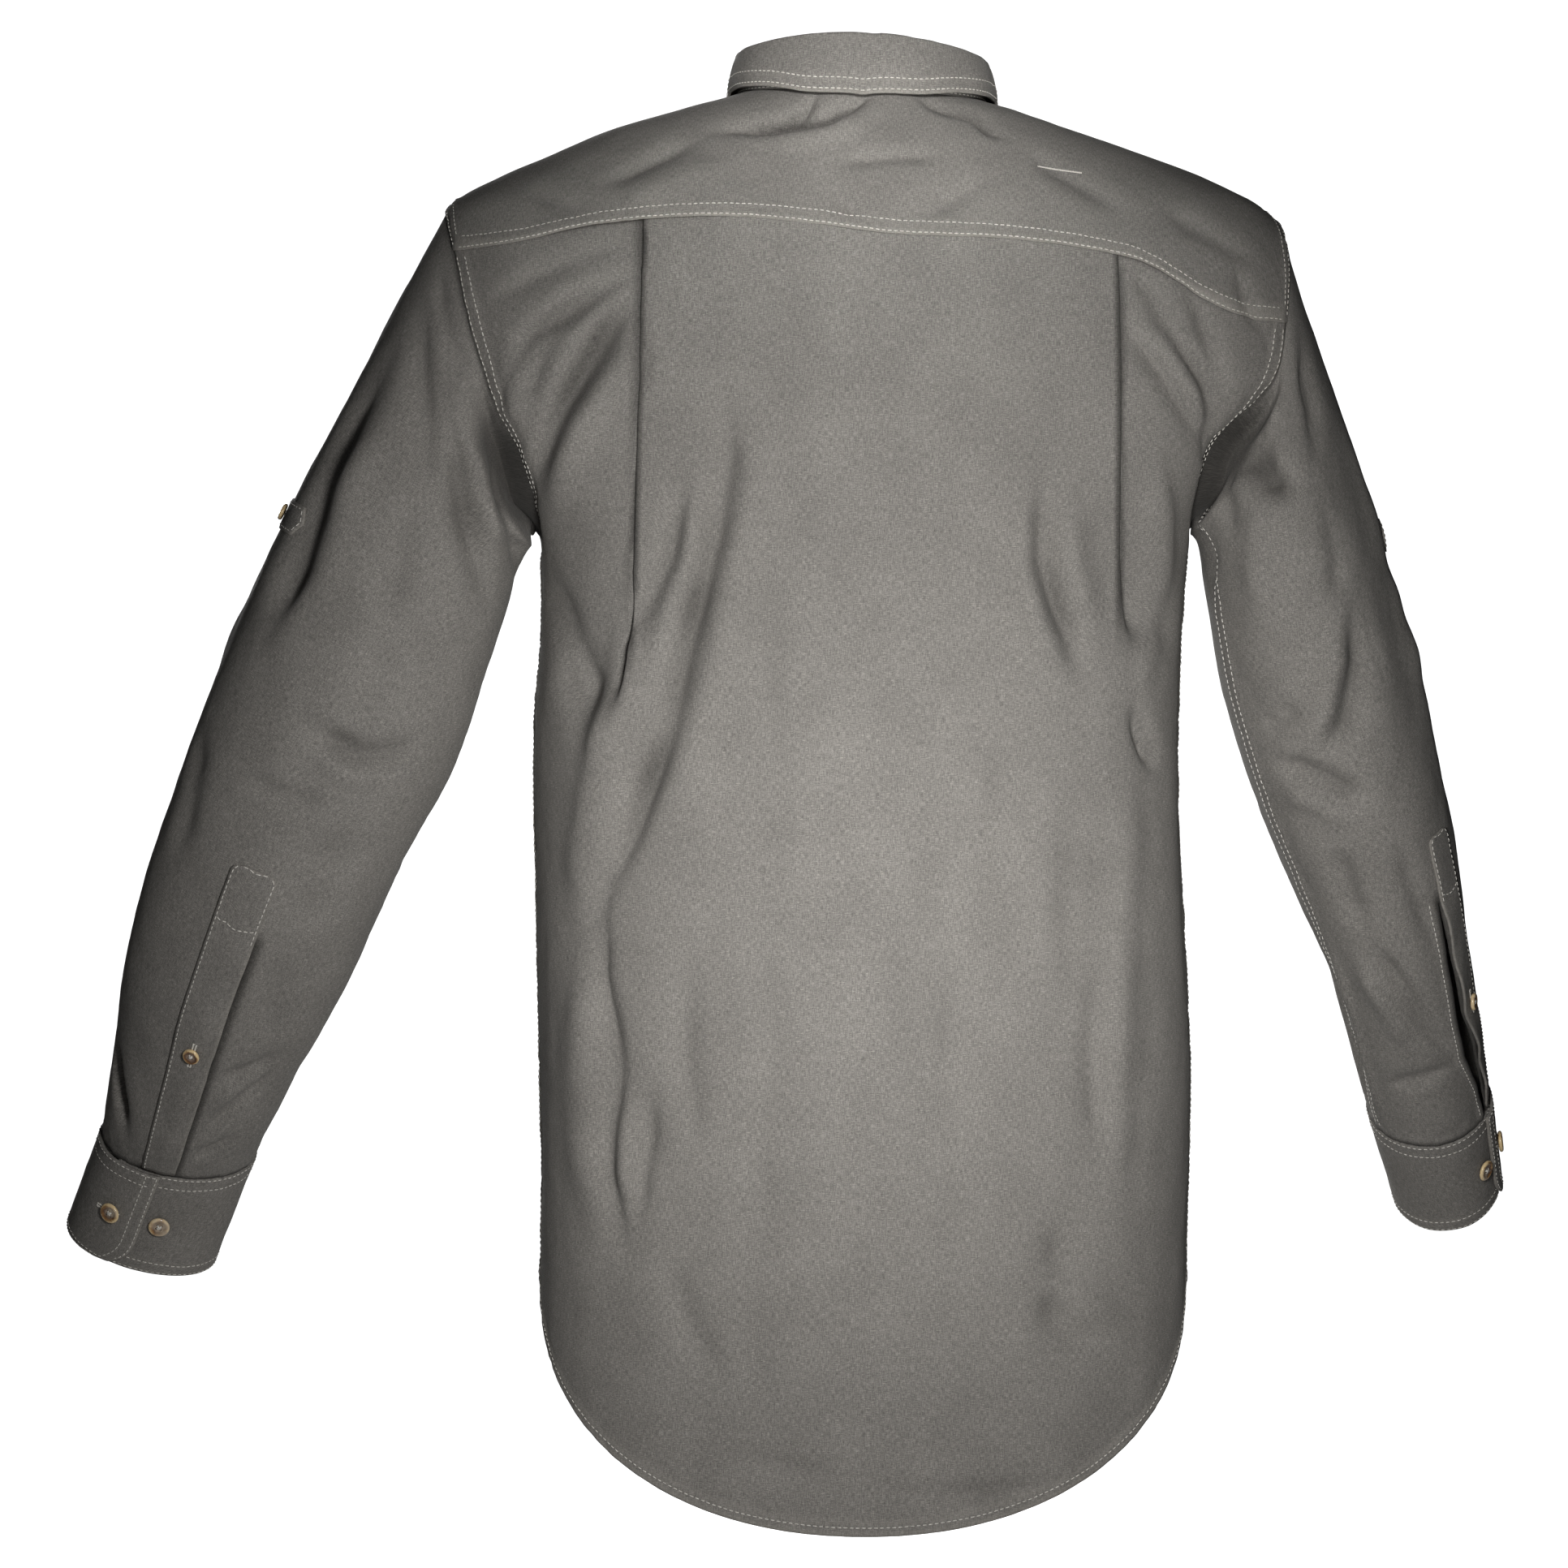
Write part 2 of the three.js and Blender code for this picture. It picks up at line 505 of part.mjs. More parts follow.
function makeBack() {
  const edges = {
    left: edgeLevels("left", armholeTurns("left").back),
    right: edgeLevels("right", armholeTurns("right").back),
  };
  const topZ = (x) => {
    const inner = yokeSeamZ(x);
    const corner = edges[sideOf(x)][0];
    const share = ease((Math.abs(x) - SEAM_STRAIGHT_TO) / (Math.abs(corner.x) - SEAM_STRAIGHT_TO));
    return mix(inner, corner.z, share);
  };
  const grid = edges.left.map((leftEdge, r) => {
    const rightEdge = edges.right[r];
    const row = [];
    const place = (x, down = 0) => {
      const half = x >= 0 ? leftEdge : rightEdge;
      const across = clamp((x - rightEdge.x) / (leftEdge.x - rightEdge.x), 0, 1);
      const depthOf = (side) => {
        const edge = edges[side][r].z;
        return (edges[side][0].z - edge) / (edges[side][0].z - SIDE_HEM);
      };
      const share = mix(depthOf("right"), depthOf("left"), across);
      const z = mix(topZ(x), hemZ(TAIL_BACK, x), share);
      const reach = Math.abs(x) >= Math.abs(half.x) - 0.01;
      row.push(reach ? skin(half.x, half.y, half.z, down) : skin(x, formY(x, z, 1), z, down));
    };
    const sleeveSide = (side, edge, pleatX, sink) => {
      const width = Math.abs(bodyForm[side](edge.z));
      const from = sideways(pleatX, width);
      const to = sideways(edge.x, width);
      const cells = between(from, to, SIDE_CELLS).slice(1);
      const places = cells.map((angle, i) => ({
        x: i === SIDE_CELLS - 1 ? edge.x : unsideways(angle, width),
        down: sink * (1 - ease(((i + 1) / SIDE_CELLS) * 1.6)),
      }));
      return side === "left" ? places : places.reverse();
    };
    const pleat = (side) => {
      const { x, low, depth } = PLEATS[side];
      const edge = side === "left" ? leftEdge : rightEdge;
      const share = clamp((yokeSeamZ(x) - edge.z) / (yokeSeamZ(x) - low.z), 0, 1.2);
      const base = mix(x, low.x, Math.min(share, 1));
      const fade = 1 - ease((share - PLEAT.gone) / 0.3);
      const outward = Math.sign(x);
      const parts = pleatSteps(Math.min(share, 1), depth);
      return parts.map(({ along, down }) => ({ x: base + outward * along, down: down * fade }));
    };
    const left = pleat("left");
    const right = pleat("right");
    const leftEnd = left[left.length - 1];
    const rightEnd = right[right.length - 1];
    sleeveSide("right", rightEdge, rightEnd.x, rightEnd.down).forEach(({ x, down }) => place(x, down));
    [...right].reverse().forEach(({ x, down }) => place(x, down));
    between(right[0].x, left[0].x, MIDDLE_CELLS).slice(1, -1).forEach((x) => place(x));
    left.forEach(({ x, down }) => place(x, down));
    sleeveSide("left", leftEdge, leftEnd.x, leftEnd.down).forEach(({ x, down }) => place(x, down));
    return row;
  });
  wall("back", drawIn(grid, { bottom: false }), CLOTH);
  return grid;
}

// The yoke fans out from the neckline to the back seam and the armholes
const YOKE_ROWS = 5;
const YOKE_NECK = { corner: 112, seam: 74 };
const frontSeam = (side) => {
  const neck = neckPlace(side === "left" ? YOKE_NECK.corner : -YOKE_NECK.corner);
  const arm = armholePlace(side, ARMHOLE[side].yokeFront);
  return steps(YOKE_ROWS).map((share) => yokePoint(neck, arm, share));
};
function yokePoint(neck, outer, share) {
  if (share === 0) return skin(neck.x, neck.y, neck.z);
  if (share === 1) return skin(outer.x, outer.y, outer.z);
  const x = mix(neck.x, outer.x, share);
  const y = mix(neck.y, outer.y, share);
  return skin(x, y, formZ(x, y));
}

function makeYoke(back) {
  const inPleat = (fromEdge) => fromEdge >= SIDE_CELLS && fromEdge < SIDE_CELLS + PLEAT_CELLS;
  const hidden = (c) => inPleat(c) || inPleat(back[0].length - 1 - c);
  const seam = back[0].filter((_, c) => !hidden(c));
  const right = armholeTurns("right").yoke.map((turn) => armholePlace("right", turn));
  const left = armholeTurns("left").yoke.map((turn) => armholePlace("left", turn)).reverse();
  const outer = [...right, ...seam.slice(1, -1), ...left];
  const cells = ARMHOLE_CELLS.yoke;
  const middle = outer.length - 1 - 2 * cells;
  const turns = [
    ...between(-YOKE_NECK.corner, -YOKE_NECK.seam, cells),
    ...between(-YOKE_NECK.seam, YOKE_NECK.seam, middle).slice(1, -1),
    ...between(YOKE_NECK.seam, YOKE_NECK.corner, cells),
  ];
  const necks = turns.map(neckPlace);
  const onBack = (c) => c > cells && c < outer.length - 1 - cells;
  const grid = steps(YOKE_ROWS).map((share) =>
    outer.map((place, c) => (share === 1 && onBack(c) ? place.clone() : yokePoint(necks[c], place, share))),
  );
  wall("yoke", drawIn(grid), CLOTH);
}

// Columns of a front, from the armhole to its own edge past the centre line
const NECK_CELLS = 4;
const CENTRE = [OVERLAP, 0, -OVERLAP];
const HALF_CHEST = 185;
const UNDERLAP = { from: 20, to: 50 };

function makeFront(side) {
  const out = side === "left" ? 1 : -1;
  const turns = armholeTurns(side).front.slice().reverse();
  const edges = edgeLevels(side, turns);
  const shoulder = frontSeam(side).reverse();
  const neckStart = YOKE_NECK.corner;
  const turnAt = (x) => 180 - THREE.MathUtils.radToDeg(Math.asin(x / NECK_HALF_WIDTH));
  const neckTurns = [...between(neckStart, turnAt(OVERLAP), NECK_CELLS).slice(1), 180, turnAt(-OVERLAP)];
  const top = [...shoulder, ...neckTurns.map((turn) => neckPoint(turn * out))];
  const freeColumns = top.length - CENTRE.length;
  const columnTurns = between(Math.PI / 2, sideways(OVERLAP, HALF_CHEST), freeColumns);
  const grid = edges.map((edge, r) => {
    const share = (edges[0].z - edge.z) / (edges[0].z - SIDE_HEM);
    return top.map((start, c) => {
      if (r === 0) return start;
      if (c === 0) return skin(edge.x, edge.y, edge.z);
      const centre = c - freeColumns;
      const high = start.x / top[0].x;
      const low = Math.sin(columnTurns[Math.min(c, freeColumns)]) ** SIDE_POWER;
      const spread = mix(high, low, ease(share / 0.3));
      const x = centre >= 0 ? out * CENTRE[centre] : edge.x * spread;
      const z = mix(start.z, hemZ(TAIL_FRONT, x), share);
      return skin(x, formY(x, z, -1), z);
    });
  });
  if (side === "right") {
    grid.forEach((row) =>
      row.forEach((point) => {
        const reach = UNDERLAP.to + Math.min(point.x, 0);
        const under = ease(reach / (UNDERLAP.to - UNDERLAP.from));
        const normal = formNormal(point.x, point.y, point.z);
        point.addScaledVector(normal, -UNDERLAP_DEPTH * under);
      }),
    );
  }
  wall("front_" + side, drawIn(grid, { bottom: false, end: false }), CLOTH);
  return grid;
}

// A button: a dished disc with a raised rim, facing out from the cloth below it
function makeButton(name, place, normal, size) {
  const half = size / 2;
  const profile = [
    [0, -BUTTON_THICK / 2],
    [half * 0.8, -BUTTON_THICK / 2],
    [half, -BUTTON_THICK * 0.1],
    [half * 0.9, BUTTON_THICK / 2],
    [half * 0.66, BUTTON_THICK * 0.22],
    [0, BUTTON_THICK * 0.22],
  ].map(([r, h]) => new THREE.Vector2(r, h));
  const mesh = new THREE.Mesh(new THREE.LatheGeometry(profile, 10), HORN);
  mesh.name = name;
  mesh.position.copy(place);
  mesh.quaternion.setFromUnitVectors(new THREE.Vector3(0, 1, 0), normal.clone().normalize());
  shirt.add(mesh);
}

const BUTTON_GAP = 0.45;
const BUTTON_LIFT = BUTTON_THICK / 2 + BUTTON_GAP;
const PLACKET_TOP_ROW = 0.22;
const FRONT_BUTTONS = 6;

function makeFrontPlacket(front) {
  const normals = gridNormals(front);
  const facing = normals[5][front[0].length - 2].y < 0 ? 1 : -1;
  const lift = facing * (CLOTH / 2 + LAY + BAND / 2);
  const band = front.map((row, r) =>
    row.map((_, c) => onGrid(front, normals, r === 0 ? PLACKET_TOP_ROW : r, c, lift)).slice(-3),
  );
  wall("front_placket", band, BAND);
  const outside = facing * (CLOTH / 2 + LAY + BAND + BUTTON_LIFT);
  for (let i = 0; i < FRONT_BUTTONS; i += 1) {
    const level = PLACKET_TOP_BUTTON - PLACKET_PITCH * i;
    const centre = front[0].length - 2;
    const r = front.findIndex((row) => row[centre].z < level);
    const part = (front[r - 1][centre].z - level) / (front[r - 1][centre].z - front[r][centre].z);
    const place = onGrid(front, normals, r - 1 + part, centre, outside);
    const normal = onGrid(front, normals, r - 1 + part, centre, outside + facing).sub(place);
    makeButton("button_front_" + (i + 1), place, normal, SHIRT_BUTTON);
  }
}

// Collar stand, standing on the neckline and lapping over itself in front
const STAND_LAP_TURN = 14;
const STAND_LAP_SPREAD = 18;
const STAND_SHIFT = { over: 0.4, under: 2.6 };
const COLLAR_CELLS = 30;
const LEAF_END_TURN = 176;
const LEAF_GAP = 0.8;
const LEAF_BULGE = 1.4;
const LEAF_FALL = [0.4, 0.75, 1];

// Roll of the leaf over the stand, out from the neck and up
const LEAF_ROLL = [
  { out: 0, up: 0 },
  { out: 0, up: 2.6 },
  { out: 1.1, up: 4.6 },
  { out: 2.5, up: 5.2 },
  { out: 4, up: 4.5 },
  { out: 5, up: 2.6 },
];

const outwards = (turn) => new THREE.Vector3(Math.sin(radians(turn)), Math.cos(radians(turn)), 0);

function standTop(turn) {
  const { back, side, front } = STAND_HEIGHT;
  const facing = Math.cos(radians(turn));
  const height = mix(side, facing > 0 ? back : front, facing ** 2);
  const foot = neckPoint(turn, STAND_LIFT);
  return foot.addScaledVector(outwards(turn), -STAND_LEAN * height).add(new THREE.Vector3(0, 0, height));
}

function makeCollar() {
  const reach = 180 + STAND_LAP_TURN;
  const turns = between(-reach, reach, COLLAR_CELLS);
  const grid = steps(2).map((share) =>
    turns.map((turn) => {
      const point = neckPoint(turn, STAND_LIFT).lerp(standTop(turn), share);
      const lap = (side) => ease((side * turn - 180 + 2.2 * STAND_LAP_TURN) / STAND_LAP_SPREAD);
      const shift = STAND_SHIFT.over * lap(1) - STAND_SHIFT.under * lap(-1);
      return point.addScaledVector(outwards(turn), shift);
    }),
  );
  wall("collar_stand", grid, DOUBLED);
  const standNormals = gridNormals(grid);
  const column = turns.findIndex((turn) => turn > 180);
  const share = (180 - turns[column - 1]) / (turns[column] - turns[column - 1]);
  const facing = standNormals[0][column].y < 0 ? 1 : -1;
  const lift = facing * (DOUBLED / 2 + BUTTON_LIFT);
  const place = onGrid(grid, standNormals, 1, column - 1 + share, lift);
  const normal = onGrid(grid, standNormals, 1, column - 1 + share, lift + facing).sub(place);
  makeButton("button_collar", place, normal, SMALL_BUTTON);

  const leafX = curve(LEAF_EDGE, "turn", "x");
  const leafY = curve(LEAF_EDGE, "turn", "y");
  const leafLift = curve(LEAF_EDGE, "turn", "lift");
  const inner = turns.filter((turn) => Math.abs(turn) < LEAF_END_TURN - 6);
  const leafTurns = [-LEAF_END_TURN, ...inner, LEAF_END_TURN];
  const columns = leafTurns.map((turn) => {
    const out = outwards(turn);
    const at = ((turn + reach) / (2 * reach)) * COLLAR_CELLS;
    const foot = onGrid(grid, standNormals, 2, at, 0).add(new THREE.Vector3(0, 0, LEAF_GAP));
    const points = LEAF_ROLL.map(({ out: along, up }) =>
      foot.clone().addScaledVector(out, along).add(new THREE.Vector3(0, 0, up)),
    );
    const side = Math.sign(turn) || 1;
    const x = side * leafX(Math.abs(turn));
    const y = leafY(Math.abs(turn));
    const edge = new THREE.Vector3(x, y, formZ(x, y) + leafLift(Math.abs(turn)));
    const rolled = points[points.length - 1];
    LEAF_FALL.forEach((part) => {
      const bulge = LEAF_BULGE * Math.sin(Math.PI * part);
      points.push(rolled.clone().lerp(edge, part).addScaledVector(out, bulge));
    });
    return points;
  });
  const leaf = columns[0].map((_, r) => columns.map((points) => points[r]));
  wall("collar_leaf", leaf, BAND);
}

// Sleeve sections as frames: centre, outward half width, backward half depth
function sectionFrame(section, axis) {
  const outer = new THREE.Vector3(section.outX, section.mid, section.outZ);
  const inner = new THREE.Vector3(section.inX, section.mid, section.inZ);
  const centre = outer.clone().add(inner).multiplyScalar(0.5);
  const half = outer.sub(centre);
  const back = new THREE.Vector3(0, 1, 0).addScaledVector(axis, -axis.y).normalize();
  return { centre, half, back: back.multiplyScalar(section.depth) };
}
function sectionPoint({ centre, half, back }, turn) {
  const angle = radians(turn);
  return centre.clone().addScaledVector(half, Math.cos(angle)).addScaledVector(back, Math.sin(angle));
}
function sleeveFrames(side) {
  const sections = [...SLEEVES[side], CUFF_END[side]];
  const middle = sections.map((s) => new THREE.Vector3((s.outX + s.inX) / 2, s.mid, (s.outZ + s.inZ) / 2));
  return sections.map((section, i) => {
    const ahead = middle[Math.min(i + 1, middle.length - 1)];
    const axis = ahead.clone().sub(middle[Math.max(i - 1, 0)]).normalize();
    return sectionFrame(section, axis);
  });
}

function sleeveFoldHeight(side, turn, share) {
  const around = radians(turn) * SLEEVE_RADIUS;
  const down = share * SLEEVE_LENGTH;
  let height = 0;
  for (const fold of SLEEVE_FOLDS[side]) {
    const points = [[fold.t1, fold.s1], [fold.t2, fold.s2], [fold.t3, fold.s3]]
      .map(([t, s]) => [radians(t) * SLEEVE_RADIUS, s * SLEEVE_LENGTH]);
    const wrapped = turn < 0 ? around + 2 * Math.PI * SLEEVE_RADIUS : around;
    height += foldHeight(turn < -36 ? wrapped : around, down, fold, points);
  }
  return height * ease(share / 0.1) * ease((1 - share) / 0.04);
}

// Sleeve grid: rings run from the armhole down lines of equal turn to the cuff seam
function makeSleeve(side) {
  const parts = armholeTurns(side);
  const around = [...parts.yoke, ...parts.back.slice(1), ...parts.front.slice(1, -1)];
  const { slit, slitPath } = TRIM[side];
  const kept = around.filter((turn) => Math.abs(turn - slit) > 5.5);
  const turns = [...kept, slit - 0.1, slit + 0.1].sort((a, b) => a - b);
  const slitCell = turns.indexOf(slit - 0.1);
  // The slit wanders down the sleeve and gapes, and the cloth within a quarter turn of it moves along
  const turnAt = (c, share) => {
    const i = Math.max(slitPath.findLastIndex((row) => row[0] <= share), 0);
    const [below, above] = [slitPath[i], slitPath[Math.min(i + 1, slitPath.length - 1)]];
    const part = above === below ? 0 : clamp((share - below[0]) / (above[0] - below[0]), 0, 1);
    const half = THREE.MathUtils.radToDeg(mix(below[2], above[2], part) / 2 / SLEEVE_RADIUS);
    const shift = mix(below[1], above[1], part) - slit + (c <= slitCell ? -half : half);
    const keep = 1 - clamp((Math.abs(turns[c] - slit) - 25) / 65, 0, 1);
    return turns[c] + shift * keep;
  };
  const frames = sleeveFrames(side).slice(0, -1);
  const axis = frames[2].centre.clone().sub(frames[0].centre).normalize();
  const lineAt = (turn) => {
    const start = armholePoint(side, turn, ARMHOLE_LIFT).addScaledVector(axis, ARMHOLE_GAP);
    const along = [start, ...frames.map((frame) => sectionPoint(frame, turn))];
    return new THREE.CatmullRomCurve3(along, false, "centripetal");
  };
  const knots = frames.length;
  const backLine = lineAt(90).points;
  const reach = [0];
  backLine.slice(1).forEach((point, i) => reach.push(reach[i] + point.distanceTo(backLine[i])));
  const knotAt = (share) => {
    const wanted = share * reach[knots];
    let i = 0;
    while (i < knots - 1 && wanted > reach[i + 1]) i += 1;
    return clamp((i + (wanted - reach[i]) / (reach[i + 1] - reach[i])) / knots, 0, 1);
  };
  const plain = SLEEVE_STEPS.map((share) =>
    turns.map((_, c) => lineAt(turnAt(c, share)).getPoint(knotAt(share))),
  );
  const normals = gridNormals(plain, true);
  const inward = normals[6][0].dot(plain[6][0].clone().sub(frames[3].centre)) > 0 ? 1 : -1;
  const grid = plain.map((row, r) =>
    row.map((point, c) => {
      const height = sleeveFoldHeight(side, turns[c], SLEEVE_STEPS[r]);
      return point.clone().addScaledVector(normals[r][c], inward * height);
    }),
  );
  const cut = (r, c) => c === slitCell && r >= SLIT_FROM_STEP;
  wall("sleeve_" + side, grid, CLOTH, { ring: true, cut });
  return { grid, turns, facing: inward };
}

// Broken row and column of a turn and a share of the length on a sleeve's grid
const rowOfShare = (share) => {
  let i = 0;
  while (i < SLEEVE_STEPS.length - 2 && share > SLEEVE_STEPS[i + 1]) i += 1;
  return i + (share - SLEEVE_STEPS[i]) / (SLEEVE_STEPS[i + 1] - SLEEVE_STEPS[i]);
};
const columnOfTurn = (turns, turn) => {
  let i = 0;
  const wanted = turn < turns[0] ? turn + 360 : turn;
  const open = [...turns, turns[0] + 360];
  while (i < open.length - 2 && wanted > open[i + 1]) i += 1;
  return i + (wanted - open[i]) / (open[i + 1] - open[i]);
};

function sleevePlace(sleeve, turn, share, lift) {
  const { grid, turns, facing } = sleeve;
  const closed = grid.map((row) => [...row, row[0]]);
  const normals = gridNormals(grid, true).map((row) => [...row, row[0]]);
  return onGrid(closed, normals, rowOfShare(share), columnOfTurn(turns, turn), facing * lift);
}

function makeSleevePlacket(side, sleeve) {
  const trim = TRIM[side];
  const lift = CLOTH / 2 + LAY + BAND / 2 + PLACKET_EXTRA_LIFT;
  const rows = [PLACKET_FROM, ...SLEEVE_STEPS.filter((s) => s > PLACKET_FROM + 0.02 && s < 1), PLACKET_TO];
  const reachTurn = THREE.MathUtils.radToDeg(PLACKET_HALF / FOREARM_RADIUS);
  const grid = rows.map((share, r) =>
    between(-1, 1, 4).map((across) => {
      const rounded = r === 0 ? 0.004 * Math.abs(across) : 0;
      return sleevePlace(sleeve, trim.placket + across * reachTurn, share + rounded, lift);
    }),
  );
  wall("sleeve_placket_" + side, grid, BAND);
  const outside = lift + BAND / 2 + BUTTON_LIFT;
  const place = sleevePlace(sleeve, trim.placket, trim.placketButton, outside);
  const normal = sleevePlace(sleeve, trim.placket, trim.placketButton, outside + 1).sub(place);
  makeButton("button_placket_" + side, place, normal, SMALL_BUTTON);
}

function makeTab(side, sleeve) {
  const { tab, tabButton } = TRIM[side];
  const lift = CLOTH / 2 + LAY + BAND / 2 + TAB_EXTRA_LIFT;
  const half = TAB_HALF_HEIGHT / SLEEVE_LENGTH;
  const open = [...sleeve.turns.map((turn) => turn - 360), ...sleeve.turns];
  const inside = open.filter((turn) => turn > tab.from + 3 && turn < tab.to - 8);
  const columns = [tab.from, ...inside, tab.to];
  const grid = between(-1, 1, 2).map((across) =>
    columns.map((turn, c) => {
      const pointed = c === columns.length - 1 && across !== 0 ? 4 : 0;
      return sleevePlace(sleeve, turn - pointed, tab.along + across * half, lift);
    }),
  );
  wall("sleeve_tab_" + side, grid, BAND);
  const outside = lift + BAND / 2 + BUTTON_LIFT;
  const place = sleevePlace(sleeve, tabButton, tab.along, outside);
  const normal = sleevePlace(sleeve, tabButton, tab.along, outside + 1).sub(place);
  makeButton("button_tab_" + side, place, normal, SMALL_BUTTON);
}

// Cuff: one strip that runs once round and laps over its own start
const CUFF_LEVELS = [0, 0.35, 0.7, 0.9, 1];
const CUFF_CELLS = 26;
const CUFF_CORNER = { turn: 7, from: 0.82 };

function makeCuff(side) {
  const { lapEnd, cuffButtons } = TRIM[side];
  const frames = sleeveFrames(side);
  const top = frames[frames.length - 2];
  const bottom = frames[frames.length - 1];
  const start = lapEnd - UNDERLAP_TURN;
  const place = (turn, share, lift) => {
    const from = sectionPoint(top, turn);
    const to = sectionPoint(bottom, turn);
    const middle = top.centre.clone().lerp(bottom.centre, share);
    const point = from.lerp(to, share);
    const down = to.clone().sub(sectionPoint(top, turn)).normalize();
    point.addScaledVector(down, CUFF_SEAM * (1 - share));
    const out = point.clone().sub(middle).normalize();
    return point.addScaledVector(out, lift);
  };
  const lapOf = (turn) => CUFF_LAP * ease((turn - (start + 360) + 40) / 38);
  const grid = CUFF_LEVELS.map((share) => {
    const round = clamp((share - CUFF_CORNER.from) / (1 - CUFF_CORNER.from), 0, 1);
    const endTurn = lapEnd + 360 - CUFF_CORNER.turn * (1 - Math.sqrt(1 - round * round));
    return between(start, endTurn, CUFF_CELLS).map((turn) => place(turn, share, lapOf(turn)));
  });
  wall("cuff_" + side, grid, DOUBLED);
  cuffButtons.forEach((turn, i) => {
    const lapped = turn < lapEnd ? CUFF_LAP : 0;
    const at = place(turn, 0.5, lapped);
    const around = place(turn + 3, 0.5, lapped).sub(place(turn - 3, 0.5, lapped));
    const normal = place(turn, 0.7, lapped).sub(place(turn, 0.3, lapped)).cross(around).normalize();
    if (normal.dot(place(turn, 0.5, lapped + 1).sub(at)) < 0) normal.negate();
    at.addScaledVector(normal, DOUBLED / 2 + BUTTON_LIFT);
    makeButton("button_cuff_" + side + "_" + (i + 1), at, normal, CUFF_BUTTON);
  });
}

const back = makeBack();
makeYoke(back);
makeFrontPlacket(makeFront("left"));
makeFront("right");
makeCollar();
for (const side of ["left", "right"]) {
  const sleeve = makeSleeve(side);
  makeSleevePlacket(side, sleeve);
  makeTab(side, sleeve);
  makeCuff(side);
}

export default shirt;
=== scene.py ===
import math

import bpy
import numpy as np
from mathutils import Matrix, Vector, noise


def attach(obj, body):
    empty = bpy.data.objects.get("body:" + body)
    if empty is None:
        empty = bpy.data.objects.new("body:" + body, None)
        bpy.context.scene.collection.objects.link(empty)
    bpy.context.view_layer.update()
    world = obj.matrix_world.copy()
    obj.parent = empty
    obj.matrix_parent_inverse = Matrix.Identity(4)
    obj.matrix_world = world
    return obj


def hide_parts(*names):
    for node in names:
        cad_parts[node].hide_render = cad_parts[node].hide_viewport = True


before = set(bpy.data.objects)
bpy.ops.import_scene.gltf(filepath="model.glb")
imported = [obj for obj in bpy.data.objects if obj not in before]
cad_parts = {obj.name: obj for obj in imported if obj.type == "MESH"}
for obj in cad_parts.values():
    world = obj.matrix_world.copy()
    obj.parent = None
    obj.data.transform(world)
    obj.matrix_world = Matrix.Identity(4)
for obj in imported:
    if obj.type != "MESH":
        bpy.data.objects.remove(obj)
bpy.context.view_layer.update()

# Sizes are in millimetres, as in the solids, and turn to metres where a mesh is made.
MM = 0.001
OUT = {"left": 1, "right": -1}
SIDES = tuple(OUT)
# Cloth: single, in a doubled piece and in a folded strip
CLOTH = 0.8
DOUBLED = 1.8
BAND = 1.3
# The bands stitched down along hems and seams, and how far a hidden edge runs on under its neighbour
HEM_BAND = 6.5
FELL = 8.0
TUCK = 5.0
# Stitches: their length, the space between them and the thread's radius
STITCH_LONG = 2.3
STITCH_GAP = 1.1
THREAD_RADIUS = 0.31

# Driving sizes, as in the solids
NECK_HALF_WIDTH = 71
NECK_DROP = 70
NECK_TILT = 0.035
STAND_HEIGHT = {"back": 26, "side": 17.5, "front": 24}
STAND_LEAN = 0.22
STAND_LIFT = 1.7
STAND_LAP_TURN = 14
STAND_LAP_SPREAD = 18
OVERLAP = 17
UNDERLAP_DEPTH = 2.6
CUFF_LAP = 2.4
TAIL_BACK = {"low": -812, "rise": 135, "power": 1.7}
TAIL_FRONT = {"low": -780, "rise": 103, "power": 1.6}
SIDE_HEM = -677
SIDE_POWER = 0.8
YOKE_NECK = {"corner": 112, "seam": 74}
ARMHOLE_LIFT = 1.2
ARMHOLE_GAP = 0.8
HALF_CHEST = 185
PLACKET_PITCH = 88
PLACKET_TOP_BUTTON = -116


def table(names, *rows):
    return {name: np.array(column, float) for name, column in zip(names.split(), zip(*rows))}


# Body form: half width on each side, depth to the back and the front, squareness, by level
BODY = table(
    "z left right back front square",
    (8, 52, 36, 47, 4, 2), (2.3, 71, 54, 53, 6, 2), (-2.7, 90, 71, 57, 10, 2),
    (-8, 110, 88, 61, 14, 2), (-18, 144, 120, 68, 20, 2), (-28, 167, 149, 75, 27, 2.05),
    (-40, 195, 181, 82, 35, 2.1), (-52, 220, 208, 88, 43, 2.2), (-62, 236, 226, 92.5, 50, 2.3),
    (-75, 242, 240, 97, 59, 2.4), (-90, 244, 249, 101, 69, 2.5), (-110, 245, 255, 105, 82, 2.6),
    (-135, 243, 258, 109, 95, 2.6), (-160, 235, 254, 111, 104, 2.6), (-180, 225, 239, 112, 109, 2.6),
    (-200, 213, 216, 112, 113, 2.6), (-225, 199, 200, 111.5, 117, 2.6), (-252, 186, 188, 110, 119, 2.6),
    (-300, 183.5, 183, 107, 121, 2.5), (-350, 187.5, 180.5, 103, 120, 2.45),
    (-400, 187.5, 180.3, 100, 119, 2.4), (-450, 186.5, 182.5, 100, 118, 2.4),
    (-510, 185.5, 186, 102, 117, 2.4), (-560, 184.8, 187.2, 104, 117, 2.45),
    (-620, 183.7, 186, 106, 117, 2.5), (-700, 184.4, 184.5, 106, 116, 2.5),
    (-830, 184, 184, 104, 112, 2.5),
)
YOKE_SEAM = table(
    "x z",
    (-208, -118), (-176, -105.6), (-141, -96), (-84, -88), (-16, -85),
    (30, -79), (75, -75), (123, -76), (200, -84),
)
